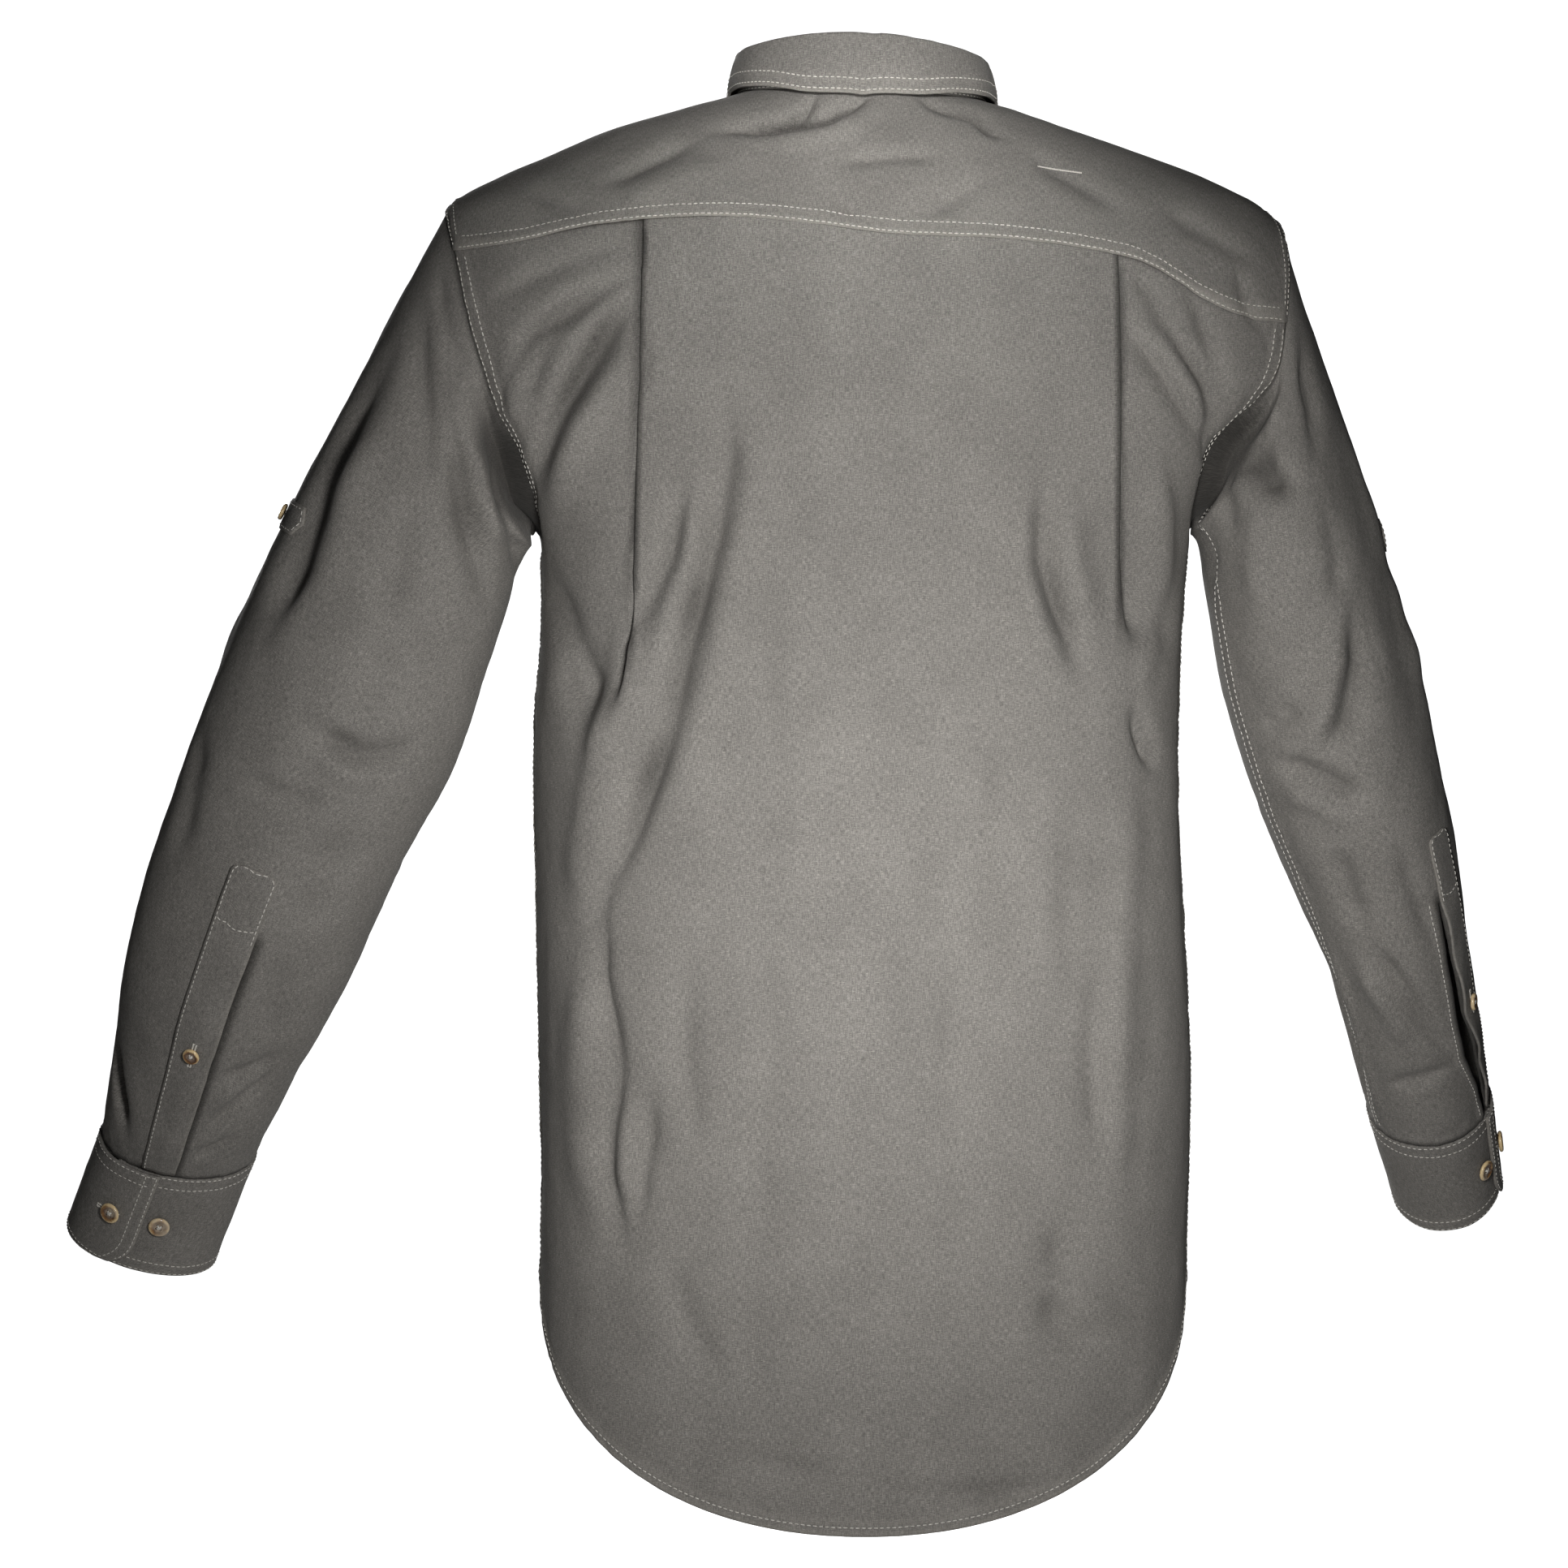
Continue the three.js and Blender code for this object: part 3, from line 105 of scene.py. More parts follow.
ARMHOLE = {
    "left": {"top": -62, "bottom": -252, "back": 62, "front": 58, "yoke_back": 45, "yoke_front": -36},
    "right": {"top": -70, "bottom": -248, "back": 60, "front": 58, "yoke_back": 72, "yoke_front": -36},
}
PLEATS = {
    "left": {"x": 123, "low_x": 131, "low_z": -345, "depth": 22},
    "right": {"x": -141, "low_x": -143, "low_z": -322, "depth": 22},
}
LEAF_EDGE = table(
    "turn x y lift",
    (0, 0, 64, 9), (30, 38, 57, 8), (60, 65, 33, 5.5), (90, 75.5, 0, 4),
    (115, 80, -22, 6), (135, 79, -44, 7), (155, 66, -66, 8), (176, 46, -86, 9),
)
LEAF_ROLL = table("out up", (0, 0), (0, 2.6), (1.1, 4.6), (2.5, 5.2), (4, 4.5), (5, 2.6))
SLEEVES = {
    "left": table(
        "out_x out_z in_x in_z mid depth",
        (303, -186, 191, -256, 4, 62), (344, -268, 214, -323, 0, 60), (369, -324, 234, -380, -5, 57),
        (391, -380, 262, -433, -14, 53), (411, -436, 288, -485, -28, 49), (426, -484, 310, -526, -50, 46),
        (435, -532, 333, -565, -76, 42), (442, -568, 350, -594, -98, 40), (448, -594, 360, -614, -118, 38),
        (472, -651, 387, -678, -150, 34),
    ),
    "right": table(
        "out_x out_z in_x in_z mid depth",
        (-275, -187, -192, -252, 4, 71), (-296, -259, -198, -283, 0, 73), (-313, -314, -210, -345, -6, 70),
        (-329, -368, -228, -400, -14, 65), (-342, -420, -249, -448, -28, 60),
        (-350.5, -472, -270, -494, -48, 56), (-359, -515, -283.5, -532, -71, 51),
        (-364, -545, -293, -560, -90, 47), (-369, -572, -302, -588, -108, 42),
        (-380, -626, -322, -643, -149, 36),
    ),
}
SLEEVE_LENGTH = 560
SLEEVE_RADIUS = 50
TRIM = {
    "left": {
        "slit": 84, "slit_path": table("share turn gap", (0.66, 84, 1), (1, 84, 1.4)), "placket": 87, "lap_end": 90,
        "cuff_buttons": (66, 102), "tab": (-26, 33), "tab_button": 2,
    },
    "right": {
        "slit": 57, "placket": 45.2, "lap_end": 38, "cuff_buttons": (14, 52), "tab": (-42, 15), "tab_button": -13,
        "slit_path": table("share turn gap", (0.66, 57, 1), (0.74, 56, 4), (0.82, 54.5, 7), (0.88, 47, 13),
                           (0.94, 37, 9), (1, 33, 6)),
    },
}
TAB_ALONG = 0.228
SLIT_FROM = 0.66
PLACKET_FROM = 0.583
PLACKET_TO = 0.994
PLACKET_HALF = 10.3
PLACKET_BUTTON = 0.815
FOREARM_RADIUS = 52
TAB_HALF_HEIGHT = 8.5
UNDERLAP_TURN = 36
SEAM_TURN = {"left": 196, "right": 153}
# The crease behind each armpit: depth, and the turns where it starts and is full
ARMPITS = {"left": (5, 106, 120), "right": (7, 92, 110)}
# The sleeve's hollow behind the armhole: turns where it starts and is full, depth, reach down the sleeve
PITS = {"left": (84, 122, 22, 62), "right": (84, 112, 17, 36)}
SHIRT_BUTTON = 11.4
CUFF_BUTTON = 12.7
SMALL_BUTTON = 10.2
BUTTON_THICK = 2.6
# A button's holes, as shares of its radius: their distance out each way, and their own radius
HOLE_AT = 0.185
HOLE_RADIUS = 0.125
BUTTONHOLE_SPARE = 7

# Rows and columns of the grids that other pieces are placed on
ARMHOLE_ROWS = 62
STRIP_COLUMNS = 15
TAB_ROWS, TAB_COLUMNS = 9, 34
STAND_ROWS, STAND_COLUMNS = 13, 170
# A pleat, by shares of its length: it opens from one over another and loses its depth from a third.
# Its lip and its flat step are in millimetres
PLEAT = {"opens_at": 0.72, "opens_over": 0.28, "gone_from": 0.9, "lip": 4, "flat_step": 5}
CUFF_CORNER = {"from": 0.72, "over": 0.28, "turn": 22}


def mix(a, b, share):
    return a + (b - a) * share


def ease(x):
    x = np.clip(x, 0, 1)
    return x * x * (3 - 2 * x)


def curve(rows, key, column):
    """A table's column as a smooth function of its key."""
    order = np.argsort(rows[key])
    at, value = rows[key][order], rows[column][order]
    last = len(at) - 1
    below, above = np.maximum(np.arange(last + 1) - 1, 0), np.minimum(np.arange(last + 1) + 1, last)
    slope = (value[above] - value[below]) / (at[above] - at[below])

    def read(wanted):
        x = np.clip(wanted, at[0], at[-1])
        i = np.clip(np.searchsorted(at, x, side="right") - 1, 0, last - 1)
        span = at[i + 1] - at[i]
        t = (x - at[i]) / span
        rise = value[i + 1] - value[i]
        bend = t * (1 - t) * ((slope[i] * span - rise) * (1 - t) - (slope[i + 1] * span - rise) * t)
        return value[i] + rise * t + bend

    return read


FORM = {name: curve(BODY, "z", name) for name in ("left", "right", "back", "front", "square")}
yoke_seam_z = curve(YOKE_SEAM, "x", "z")


def form_at(x, y, z):
    """The form's squareness, half width and half depth on the side of a place."""
    wide = np.where(x >= 0, FORM["left"](z), FORM["right"](z))
    deep = np.where(y >= 0, FORM["back"](z), FORM["front"](z))
    return FORM["square"](z), wide, deep


def form_value(x, y, z):
    """Below zero inside the form, above zero outside."""
    square, wide, deep = form_at(x, y, z)
    return (np.abs(x) / wide) ** square + (np.abs(y) / deep) ** square - 1


def form_y(x, z, facing):
    square, wide, deep = form_at(x, facing, z)
    across = np.minimum(np.abs(x) / wide, 1)
    return facing * deep * (1 - across**square) ** (1 / square)


def form_x(side, y, z):
    square, wide, deep = form_at(OUT[side], y, z)
    return OUT[side] * wide * np.maximum(1 - (np.abs(y) / deep) ** square, 0) ** (1 / square)


def form_z(x, y):
    """The shoulders' level over a place, found by halving between the neck base and the armholes' middle."""
    x, y = np.broadcast_arrays(np.asarray(x, float), np.asarray(y, float))
    high, low = np.full(x.shape, 8.0), np.full(x.shape, -135.0)
    for _ in range(30):
        middle = (high + low) / 2
        outside = form_value(x, y, middle) > 0
        high, low = np.where(outside, middle, high), np.where(outside, low, middle)
    return (high + low) / 2


def unit(v):
    return v / np.maximum(np.linalg.norm(v, axis=-1, keepdims=True), 1e-9)


def vector(x, y, z):
    return np.stack(np.broadcast_arrays(x, y, z), axis=-1).astype(float)


def form_normal(x, y, z):
    """The form's outward direction, from its slopes half a millimetre to each side."""
    d = 0.5
    y = np.where(np.abs(y) < 1, np.where(y < 0, -1.0, 1.0), y)
    return unit(vector(
        form_value(x + d, y, z) - form_value(x - d, y, z),
        form_value(x, y + d, z) - form_value(x, y - d, z),
        form_value(x, y, z + d) - form_value(x, y, z - d),
    ))


# Folds: height (troughs below zero), half width, lean to one side, then the points it runs through.
# On the body these are x and z as seen from behind or from the front, on a sleeve turn and share of its length.
FOLD_DEPTH = {"back": 1.8, "front": 1.5, "sleeve": 1.95}
BACK_FOLDS = [
    (-1.6, 7, 0.2, 213, -122, 188, -108, 161, -96, 132, -86),
    (-3.8, 6, 0.25, 204, -175, 190, -140, 166, -122, 134, -106),
    (-2.2, 5, 0, 192, -184, 185, -162, 172, -135, 146, -117),
    (-6.5, 8, -0.25, 126, -115, 146, -136, 161, -162, 175, -187, 185, -213, 188, -227),
    (3, 9, 0, 120, -140, 142, -164, 159, -190, 170, -217, 177, -244),
    (-2, 5, 0, 127, -129, 124, -155, 127, -181),
    (2.2, 8, 0, 193, -144, 198, -167, 193, -194),
    (-4, 8, 0.2, 102, -230, 109, -266, 121, -289, 130, -309),
    (3, 8, 0, 92, -222, 98, -267, 109, -301, 120, -330),
    (-5.5, 10, 0.3, 80, -167, 75, -208, 84, -256, 95, -295, 101, -324, 108, -360, 121, -393, 132, -425, 154, -475),
    (2.5, 12, 0, 61, -190, 64, -244, 75, -290, 84, -330, 98, -376),
    (3.5, 13, -0.3, 131, -280, 141, -324, 147, -360, 154, -396, 160, -433, 160, -466),
    (2.5, 12, 0, 154, -475, 157, -521, 160, -589, 147, -648),
    (-4, 9, 0, 179, -266, 170, -299, 163, -330, 157, -364),
    (-3, 8, 0.3, 145, -444, 147, -498, 138, -552, 143, -611, 132, -661),
    (-3.2, 6, 0.3, 119, -566, 120, -589, 124, -611, 125, -634),
    (2.5, 8, 0, 134, -562, 136, -589, 133, -630),
    (-2, 9, 0, 98, -489, 101, -543, 93, -598),
    (-1.6, 6, 0, 55, -99, 39, -125, 25, -149, 11, -169),
    (-1.4, 7, 0, 73, -90, 61, -113, 52, -144),
    (-5.5, 8, -0.2, -99, -226, -99, -266, -108, -295, -122, -328),
    (3.4, 9, 0, -89, -226, -88, -271, -97, -305, -112, -339),
    (2.5, 10, 0, -115, -235, -116, -271, -127, -303),
    (3, 9, 0.3, -166, -208, -169, -244, -169, -273, -164, -316, -156, -335),
    (-4.5, 6, -0.2, -151, -348, -156, -364, -164, -384),
    (2.4, 11, 0, -152, -385, -147, -444, -144, -498, -142, -566, -140, -634),
    (-2.5, 9, 0, -134, -489, -129, -543, -133, -598),
    (-3.4, 6, 0.2, -143, -129, -167, -160, -192, -201),
    (2, 7, 0, -154, -131, -177, -160, -197, -194),
    (-5, 6, -0.3, -171, -135, -178, -147, -191, -168, -195, -186, -193, -208),
    (-3, 5, 0, -184, -115, -193, -141, -203, -171, -207, -184),
    (-2.4, 5, 0, -210, -106, -215, -120, -227, -141),
    (-2.6, 6, 0, -152, -104, -166, -123, -170, -144),
    (-3.2, 8, 0, -95, -679, -115, -698, -139, -707),
    (2, 9, 0, -93, -666, -120, -679, -145, -698),
    (-2.2, 6, 0, -2, -785, -34, -789, -68, -789, -102, -783),
    (-2, 8, 0, 75, -766, 48, -775, 11, -780),
    (-1.8, 9, 0, -52, -489, -48, -543, -54, -598, -50, -652),
    (1.6, 14, 0, -29, -362, -25, -430, -28, -498, -25, -566),
    (-1.6, 12, 0, 2, -244, -4, -299, 1, -353, -2, -407),
    (1.6, 13, 0, 36, -271, 41, -339, 36, -407, 41, -475),
    (-1.8, 11, 0, 57, -475, 53, -534, 59, -598, 55, -657),
    (-1.6, 10, 0, -79, -362, -74, -412, -79, -462),
    (1.8, 12, 0, -102, -398, -100, -462, -104, -525),
    (-2.2, 10, 0, 111, -661, 98, -698, 79, -725),
    (-2, 10, 0, -106, -634, -111, -666, -102, -698),
    (-4.2, 5, 0.3, -7, -1, 4, -10, 19, -19, 35, -22, 55, -23, 87, -25),
    (2.2, 7, 0, -5, -12, 9, -22, 29, -29, 57, -31),
    (-2.2, 4, 0, 26, -2, 33, -13, 45, -19),
    (-2.8, 5, -0.3, -30, -4, -38, -10, -62, -15, -71, -25, -80, -29),
    (-2, 5, 0, 16, -44, -3, -42, -24, -40, -43, -40),
    (-1.8, 5, 0, 17, -60, 12, -69, 3, -76),
    (-1.8, 6, 0, -64, -54, -51, -64, -38, -73),
    (-1.6, 6, 0, 93, -30, 121, -42, 148, -56),
    (1.5, 9, 0, 75, -44, 107, -53, 135, -67),
    (-1.5, 7, 0, -90, -37, -117, -53, -147, -70),
    (-1.8, 6, 0, -167, -70, -195, -84, -218, -97),
    (-1.4, 7, 0, 194, -56, 171, -64, 153, -73),
]
FRONT_FOLDS = [
    (-5, 11, 0.2, 60, -105, 120, -170, 178, -235),
    (-5, 11, -0.2, -50, -110, -112, -175, -176, -230),
    (2.6, 10, 0, 48, -128, 106, -190, 160, -250),
    (2.6, 10, 0, -40, -135, -100, -196, -158, -246),
    (-4, 11, 0.2, 150, -250, 110, -350, 60, -430),
    (-4, 11, -0.2, -150, -255, -118, -370, -84, -470),
    (-2.6, 8, 0, 172, -280, 150, -330, 128, -372),
    (-2.8, 8, 0, -172, -284, -148, -345, -130, -392),
    (3, 13, 0, 120, -430, 126, -520, 116, -640),
    (3, 13, 0, -128, -420, -118, -540, -126, -660),
    (-2.4, 10, 0, 70, -480, 78, -580, 66, -690),
    (-2.4, 10, 0, -72, -500, -66, -600, -74, -700),
    (2, 12, 0, 44, -300, 50, -420, 42, -540),
    (-2, 9, 0, -36, -260, -44, -360, -38, -460),
    (-2, 8, 0, 150, -560, 140, -610, 148, -650),
    (-2.2, 8, 0, -150, -540, -142, -600, -150, -650),
    (-2.6, 7, 0, 40, -95, 46, -140, 66, -190),
    (-2.4, 7, 0, -42, -98, -52, -150, -70, -200),
    (-1.6, 7, 0, 120, -90, 150, -120, 196, -150),
    (-1.6, 7, 0, -124, -92, -158, -126, -202, -160),
]
SLEEVE_FOLDS = {
    "left": [
        (-5.5, 7, -0.2, 36, 0.014, 52, 0.021, 69, 0.025, 89, 0.018, 96, 0.014),
        (-2.4, 6, 0, 64, 0.014, 76, 0.011, 89, 0.000),
        (-2.8, 8, 0.2, 36, 0.029, 56, 0.055, 79, 0.087, 94, 0.138),
        (-4.5, 9, 0.2, 79, 0.055, 96, 0.081, 112, 0.125, 132, 0.183, 149, 0.222),
        (3.2, 9, 0, 89, 0.029, 104, 0.042, 119, 0.093, 142, 0.177),
        (-3.2, 7, 0, 114, 0.029, 136, 0.100, 182, 0.196),
        (-4.5, 10, 0.2, 39, 0.087, 36, 0.125, 39, 0.177, 42, 0.215, 46, 0.260, 46, 0.292, 46, 0.350),
        (2.8, 10, 0, 54, 0.081, 56, 0.125, 56, 0.183, 62, 0.234, 62, 0.292),
        (-2.2, 9, 0, 84, 0.145, 94, 0.215, 96, 0.298),
        (-3.8, 9, 0, 79, 0.414, 94, 0.420, 109, 0.427, 124, 0.414, 134, 0.382),
        (2.5, 9, 0, 89, 0.439, 109, 0.446, 126, 0.439),
        (-2.5, 8, 0, 64, 0.497, 84, 0.497, 106, 0.491),
        (-2.2, 9, 0, 102, 0.292, 104, 0.350, 102, 0.407),
        (-2.4, 10, 0, 119, 0.491, 122, 0.568, 122, 0.638),
        (-2, 9, 0, 24, 0.472, 36, 0.542, 42, 0.613),
        (-2.8, 7, 0, 106, 0.843, 122, 0.824, 142, 0.798),
        (-3, 6, 0, 109, 0.920, 122, 0.875, 139, 0.824),
        (-2.4, 5, 0, 106, 0.965, 119, 0.946, 134, 0.920),
        (2, 7, 0, 106, 0.888, 119, 0.850, 134, 0.811),
        (-2, 8, 0, 116, 0.664, 119, 0.728, 132, 0.798),
        (-5, 6, 0.3, 54, 0.959, 32, 0.907, 14, 0.862),
        (-5, 12, 0.2, 235, 0.08, 250, 0.26, 262, 0.46),
        (2.8, 10, 0, 252, 0.08, 266, 0.24, 276, 0.42),
        (-5, 12, 0, 200, 0.6, 240, 0.64, 290, 0.6),
        (-4, 11, 0, 196, 0.52, 232, 0.555, 276, 0.53),
        (-3.4, 10, 0, 204, 0.70, 238, 0.72, 276, 0.69),
        (-4.5, 10, 0, 186, 0.03, 196, 0.12, 200, 0.24),
        (-3, 9, 0, 300, 0.05, 312, 0.16, 318, 0.3),
        (-3, 9, 0, 210, 0.86, 236, 0.885, 268, 0.9),
        (-2.4, 9, 0, 262, 0.78, 280, 0.83, 300, 0.9),
        (2.2, 12, 0, 330, 0.1, 342, 0.3, 346, 0.52),
        (-2.6, 10, 0, 330, 0.6, 340, 0.7, 338, 0.82),
    ],
    "right": [
        (-5.5, 8, -0.2, 112, 0.032, 96, 0.113, 84, 0.138, 69, 0.145),
        (3.2, 8, 0, 82, 0.049, 99, 0.032, 109, 0.049),
        (-3, 7, 0, 114, 0.029, 126, 0.068, 132, 0.151),
        (2.6, 10, 0, 109, 0.125, 119, 0.196, 122, 0.273),
        (-4.2, 10, 0.2, 62, 0.286, 69, 0.350, 86, 0.407, 104, 0.452),
        (2.8, 10, 0, 74, 0.286, 82, 0.343, 96, 0.395, 114, 0.433),
        (-3.6, 8, 0, 142, 0.439, 124, 0.452, 109, 0.472, 84, 0.516),
        (2.4, 8, 0, 139, 0.472, 119, 0.497, 99, 0.536),
        (-2.5, 8, 0, 112, 0.375, 126, 0.395, 142, 0.401),
        (-3.5, 9, -0.2, 114, 0.683, 102, 0.741, 84, 0.811, 69, 0.875),
        (2.4, 9, 0, 129, 0.702, 116, 0.773, 104, 0.843),
        (-2.4, 9, 0, 116, 0.548, 119, 0.613, 116, 0.677),
        (-2.8, 7, 0, 136, 0.907, 104, 0.888, 72, 0.882),
        (-2, 8, 0, 74, 0.574, 74, 0.645, 66, 0.709),
        (-2.4, 8, 0, 56, 0.042, 52, 0.093, 59, 0.132),
        (-2, 8, 0, 62, 0.183, 64, 0.234, 74, 0.273),
        (-5, 12, 0.2, 240, 0.08, 252, 0.28, 262, 0.46),
        (2.6, 10, 0, 222, 0.1, 234, 0.26, 246, 0.44),
        (-5, 12, 0, 200, 0.58, 240, 0.62, 290, 0.58),
        (-4, 11, 0, 194, 0.50, 230, 0.535, 274, 0.51),
        (-3.4, 10, 0, 200, 0.68, 236, 0.70, 272, 0.67),
        (-4.5, 10, 0, 176, 0.03, 168, 0.12, 164, 0.24),
        (-3, 9, 0, 300, 0.05, 310, 0.16, 314, 0.3),
        (-3, 9, 0, 206, 0.86, 232, 0.885, 262, 0.9),
        (-2.4, 9, 0, 262, 0.78, 278, 0.83, 296, 0.9),
        (2.2, 12, 0, 20, 0.1, 14, 0.3, 16, 0.52),
        (-2.6, 10, 0, 336, 0.6, 346, 0.7, 344, 0.82),
        (1.8, 4, 0, 151, 0.66, 149, 0.85, 146, 0.985),
        (-3.6, 9, 0, 173, 0.66, 171, 0.85, 169, 0.985),
    ],
}


def fold_height(px, py, fold):
    """One fold as a soft trough or ridge along its line, faded and unsteady towards its ends."""
    deep, wide, lean, *numbers = fold
    line = np.array(numbers, float).reshape(-1, 2)
    lengths = np.linalg.norm(np.diff(line, axis=0), axis=1)
    reach = np.concatenate([[0], np.cumsum(lengths)])
    nearest = np.full(px.shape, 1e9)
    side = np.zeros(px.shape)
    along = np.zeros(px.shape)
    for i, length in enumerate(lengths):
        ax, ay = line[i]
        dx, dy = (line[i + 1] - line[i]) / length
        t = np.clip((px - ax) * dx + (py - ay) * dy, 0, length)
        ox, oy = px - ax - t * dx, py - ay - t * dy
        distance = np.hypot(ox, oy)
        closer = distance < nearest
        nearest = np.where(closer, distance, nearest)
        side = np.where(closer, np.sign(dx * oy - dy * ox), side)
        along = np.where(closer, reach[i] + t, along)
    share = along / reach[-1]
    wobble = 1 + 0.22 * np.sin(along / 17 + deep * 3.1 + line[0, 0]) + 0.12 * np.sin(along / 7.3 + line[0, 1])
    fade = ease(np.minimum(share, 1 - share) * 3.2) * 0.85 + 0.15
    width = wide * (1 + lean * side) * (0.64 + 0.24 * fade)
    return deep * fade * wobble * np.exp(-((nearest / width) ** 2))


def folds_height(px, py, folds):
    return sum((fold_height(px, py, fold) for fold in folds), np.zeros(np.shape(px)))


def near(distance, width):
    return np.exp(-((distance / width) ** 2))


def rumple(places, scale, seed):
    """Seeded smooth noise at each place, in about -1 to 1."""
    flat = (places.reshape(-1, 3) / scale + seed * 7.31).tolist()
    values = [noise.fractal(p, 0.9, 2.1, 2, noise_basis="PERLIN_ORIGINAL") for p in flat]
    return np.array(values).reshape(places.shape[:-1])


def body_height(x, y, z):
    back = FOLD_DEPTH["back"] * folds_height(x, z, BACK_FOLDS) * ease((y - 4) / 30)
    front = FOLD_DEPTH["front"] * folds_height(x, z, FRONT_FOLDS) * ease((-y - 4) / 30)
    return back + front - armpit_depth(x, y, z)


def armpit_depth(x, y, z):
    """The deep crease behind each armpit, where the sleeve's seam sinks between body and sleeve."""
    depth = np.zeros(np.shape(x))
    for side, (deep, first, full) in ARMPITS.items():
        turns = np.linspace(first, 200, 46)
        strength = deep * ease((turns - first) / (full - first)) * ease((205 - turns) / 30)
        for px, py, pz, strong in zip(*armhole_place(side, turns), strength):
            away = (x - px) ** 2 + (y - py) ** 2 + (z - pz) ** 2
            depth = np.maximum(depth, strong * np.exp(-away / 64))
    return depth


def skin(x, y, z, lift=0.0):
    x, y, z = np.broadcast_arrays(np.asarray(x, float), np.asarray(y, float), np.asarray(z, float))
    height = body_height(x, y, z) + lift
    return vector(x, y, z) + form_normal(x, y, z) * height[..., None]


class Panel:
    """Cloth as a grid of points, with its normals and its lengths across and down."""

    thick = CLOTH
    threads = None

    def __init__(self, points, ring=False, centre=(0, 10, None)):
        self.points = points
        self.ring = ring
        x, y, z = centre
        inside = points.copy()
        inside[..., 0], inside[..., 1] = x, y
        if z is not None:
            inside[..., 2] = z
        self.inside = inside
        self.measure()

    def measure(self):
        p = self.points
        if self.ring:
            across = np.roll(p, -1, axis=1) - np.roll(p, 1, axis=1)
        else:
            across = np.gradient(p, axis=1)
        n = unit(np.cross(across, np.gradient(p, axis=0)))
        self.sign = 1.0 if (n * (p - self.inside)).sum() > 0 else -1.0
        self.normals = n * self.sign
        step = np.linalg.norm(np.diff(p, axis=1), axis=-1)
        self.across = np.concatenate([np.zeros((len(p), 1)), np.cumsum(step, axis=1)], axis=1)
        step = np.linalg.norm(np.diff(p, axis=0), axis=-1)
        self.down = np.concatenate([np.zeros((1, p.shape[1])), np.cumsum(step, axis=0)], axis=0)

    def across_from(self, column):
        """How far each point lies along its row from one column."""
        return self.across - self.across[:, column : column + 1]

    def grain(self):
        """Where each point lies on the straight threads of its cloth."""
        return self.threads or (self.across_from(self.points.shape[1] // 2), self.down)

    def edge(self, name):
        """How far each point lies from one edge, along the cloth."""
        return {
            "top": self.down,
            "bottom": self.down[-1:] - self.down,
            "start": self.across,
            "end": self.across[:, -1:] - self.across,
        }[name]

    def nearest(self, *names):
        """How far each point lies from the nearest of some edges."""
        return np.minimum.reduce([self.edge(name) for name in names])

    def lift(self, height):
        self.points = self.points + self.normals * np.broadcast_to(height, self.points.shape[:2])[..., None]
        self.measure()

    def at(self, r, c, lift=0.0):
        """Points at broken row and column numbers, and their normals."""
        r, c = np.broadcast_arrays(np.asarray(r, float), np.asarray(c, float))
        rows, columns = self.points.shape[:2]
        if self.ring:
            c = c % columns
        r0 = np.clip(np.floor(r).astype(int), 0, rows - 2)
        c0 = np.clip(np.floor(c).astype(int), 0, columns - (1 if self.ring else 2))
        c1 = (c0 + 1) % columns
        fr, fc = (r - r0)[..., None], (c - c0)[..., None]

        def blend(field):
            upper = mix(field[r0, c0], field[r0, c1], fc)
            return mix(upper, mix(field[r0 + 1, c0], field[r0 + 1, c1], fc), fr)

        n = unit(blend(self.normals))
        return blend(self.points) + n * lift, n

    def line(self, edge, distance, start=0.0, end=1.0):
        """A line on the cloth at one distance from an edge, between two shares of the edge's length."""
        level = edge in ("top", "bottom")
        away = self.edge(edge) if level else self.edge(edge).T
        steps, length = away.shape
        along = np.linspace(start, end, length) * (length - 1)
        order = 1 if edge in ("top", "start") else -1
        tracks = away[:, np.round(along).astype(int)].T[:, ::order]
        inwards = [np.interp(distance, track, np.arange(steps)[::order]) for track in tracks]
        return self.at(*((inwards, along) if level else (along, inwards)), self.thick / 2)


def add_object(name, data):
    made = bpy.data.objects.new(name, data)
    bpy.context.scene.collection.objects.link(made)
    return made


def add_mesh(name, vertices, faces, material, attributes=None):
    mesh = bpy.data.meshes.new(name)
    mesh.vertices.add(len(vertices))
    mesh.vertices.foreach_set("co", (vertices * MM).astype(np.float32).ravel())
    mesh.loops.add(faces.size)
    mesh.loops.foreach_set("vertex_index", faces.astype(np.int32).ravel())
    mesh.polygons.add(len(faces))
    mesh.polygons.foreach_set("loop_start", np.arange(0, faces.size, faces.shape[1], dtype=np.int32))
    mesh.update(calc_edges=True)
    mesh.polygons.foreach_set("use_smooth", np.ones(len(faces), bool))
    for key, (kind, values) in (attributes or {}).items():
        attribute = mesh.attributes.new(key, kind, "POINT")
        field = "vector" if kind == "FLOAT_VECTOR" else "value"
        attribute.data.foreach_set(field, values.astype(np.float32).ravel())
    mesh.validate()
    mesh.materials.append(material)
    return add_object(name, mesh)


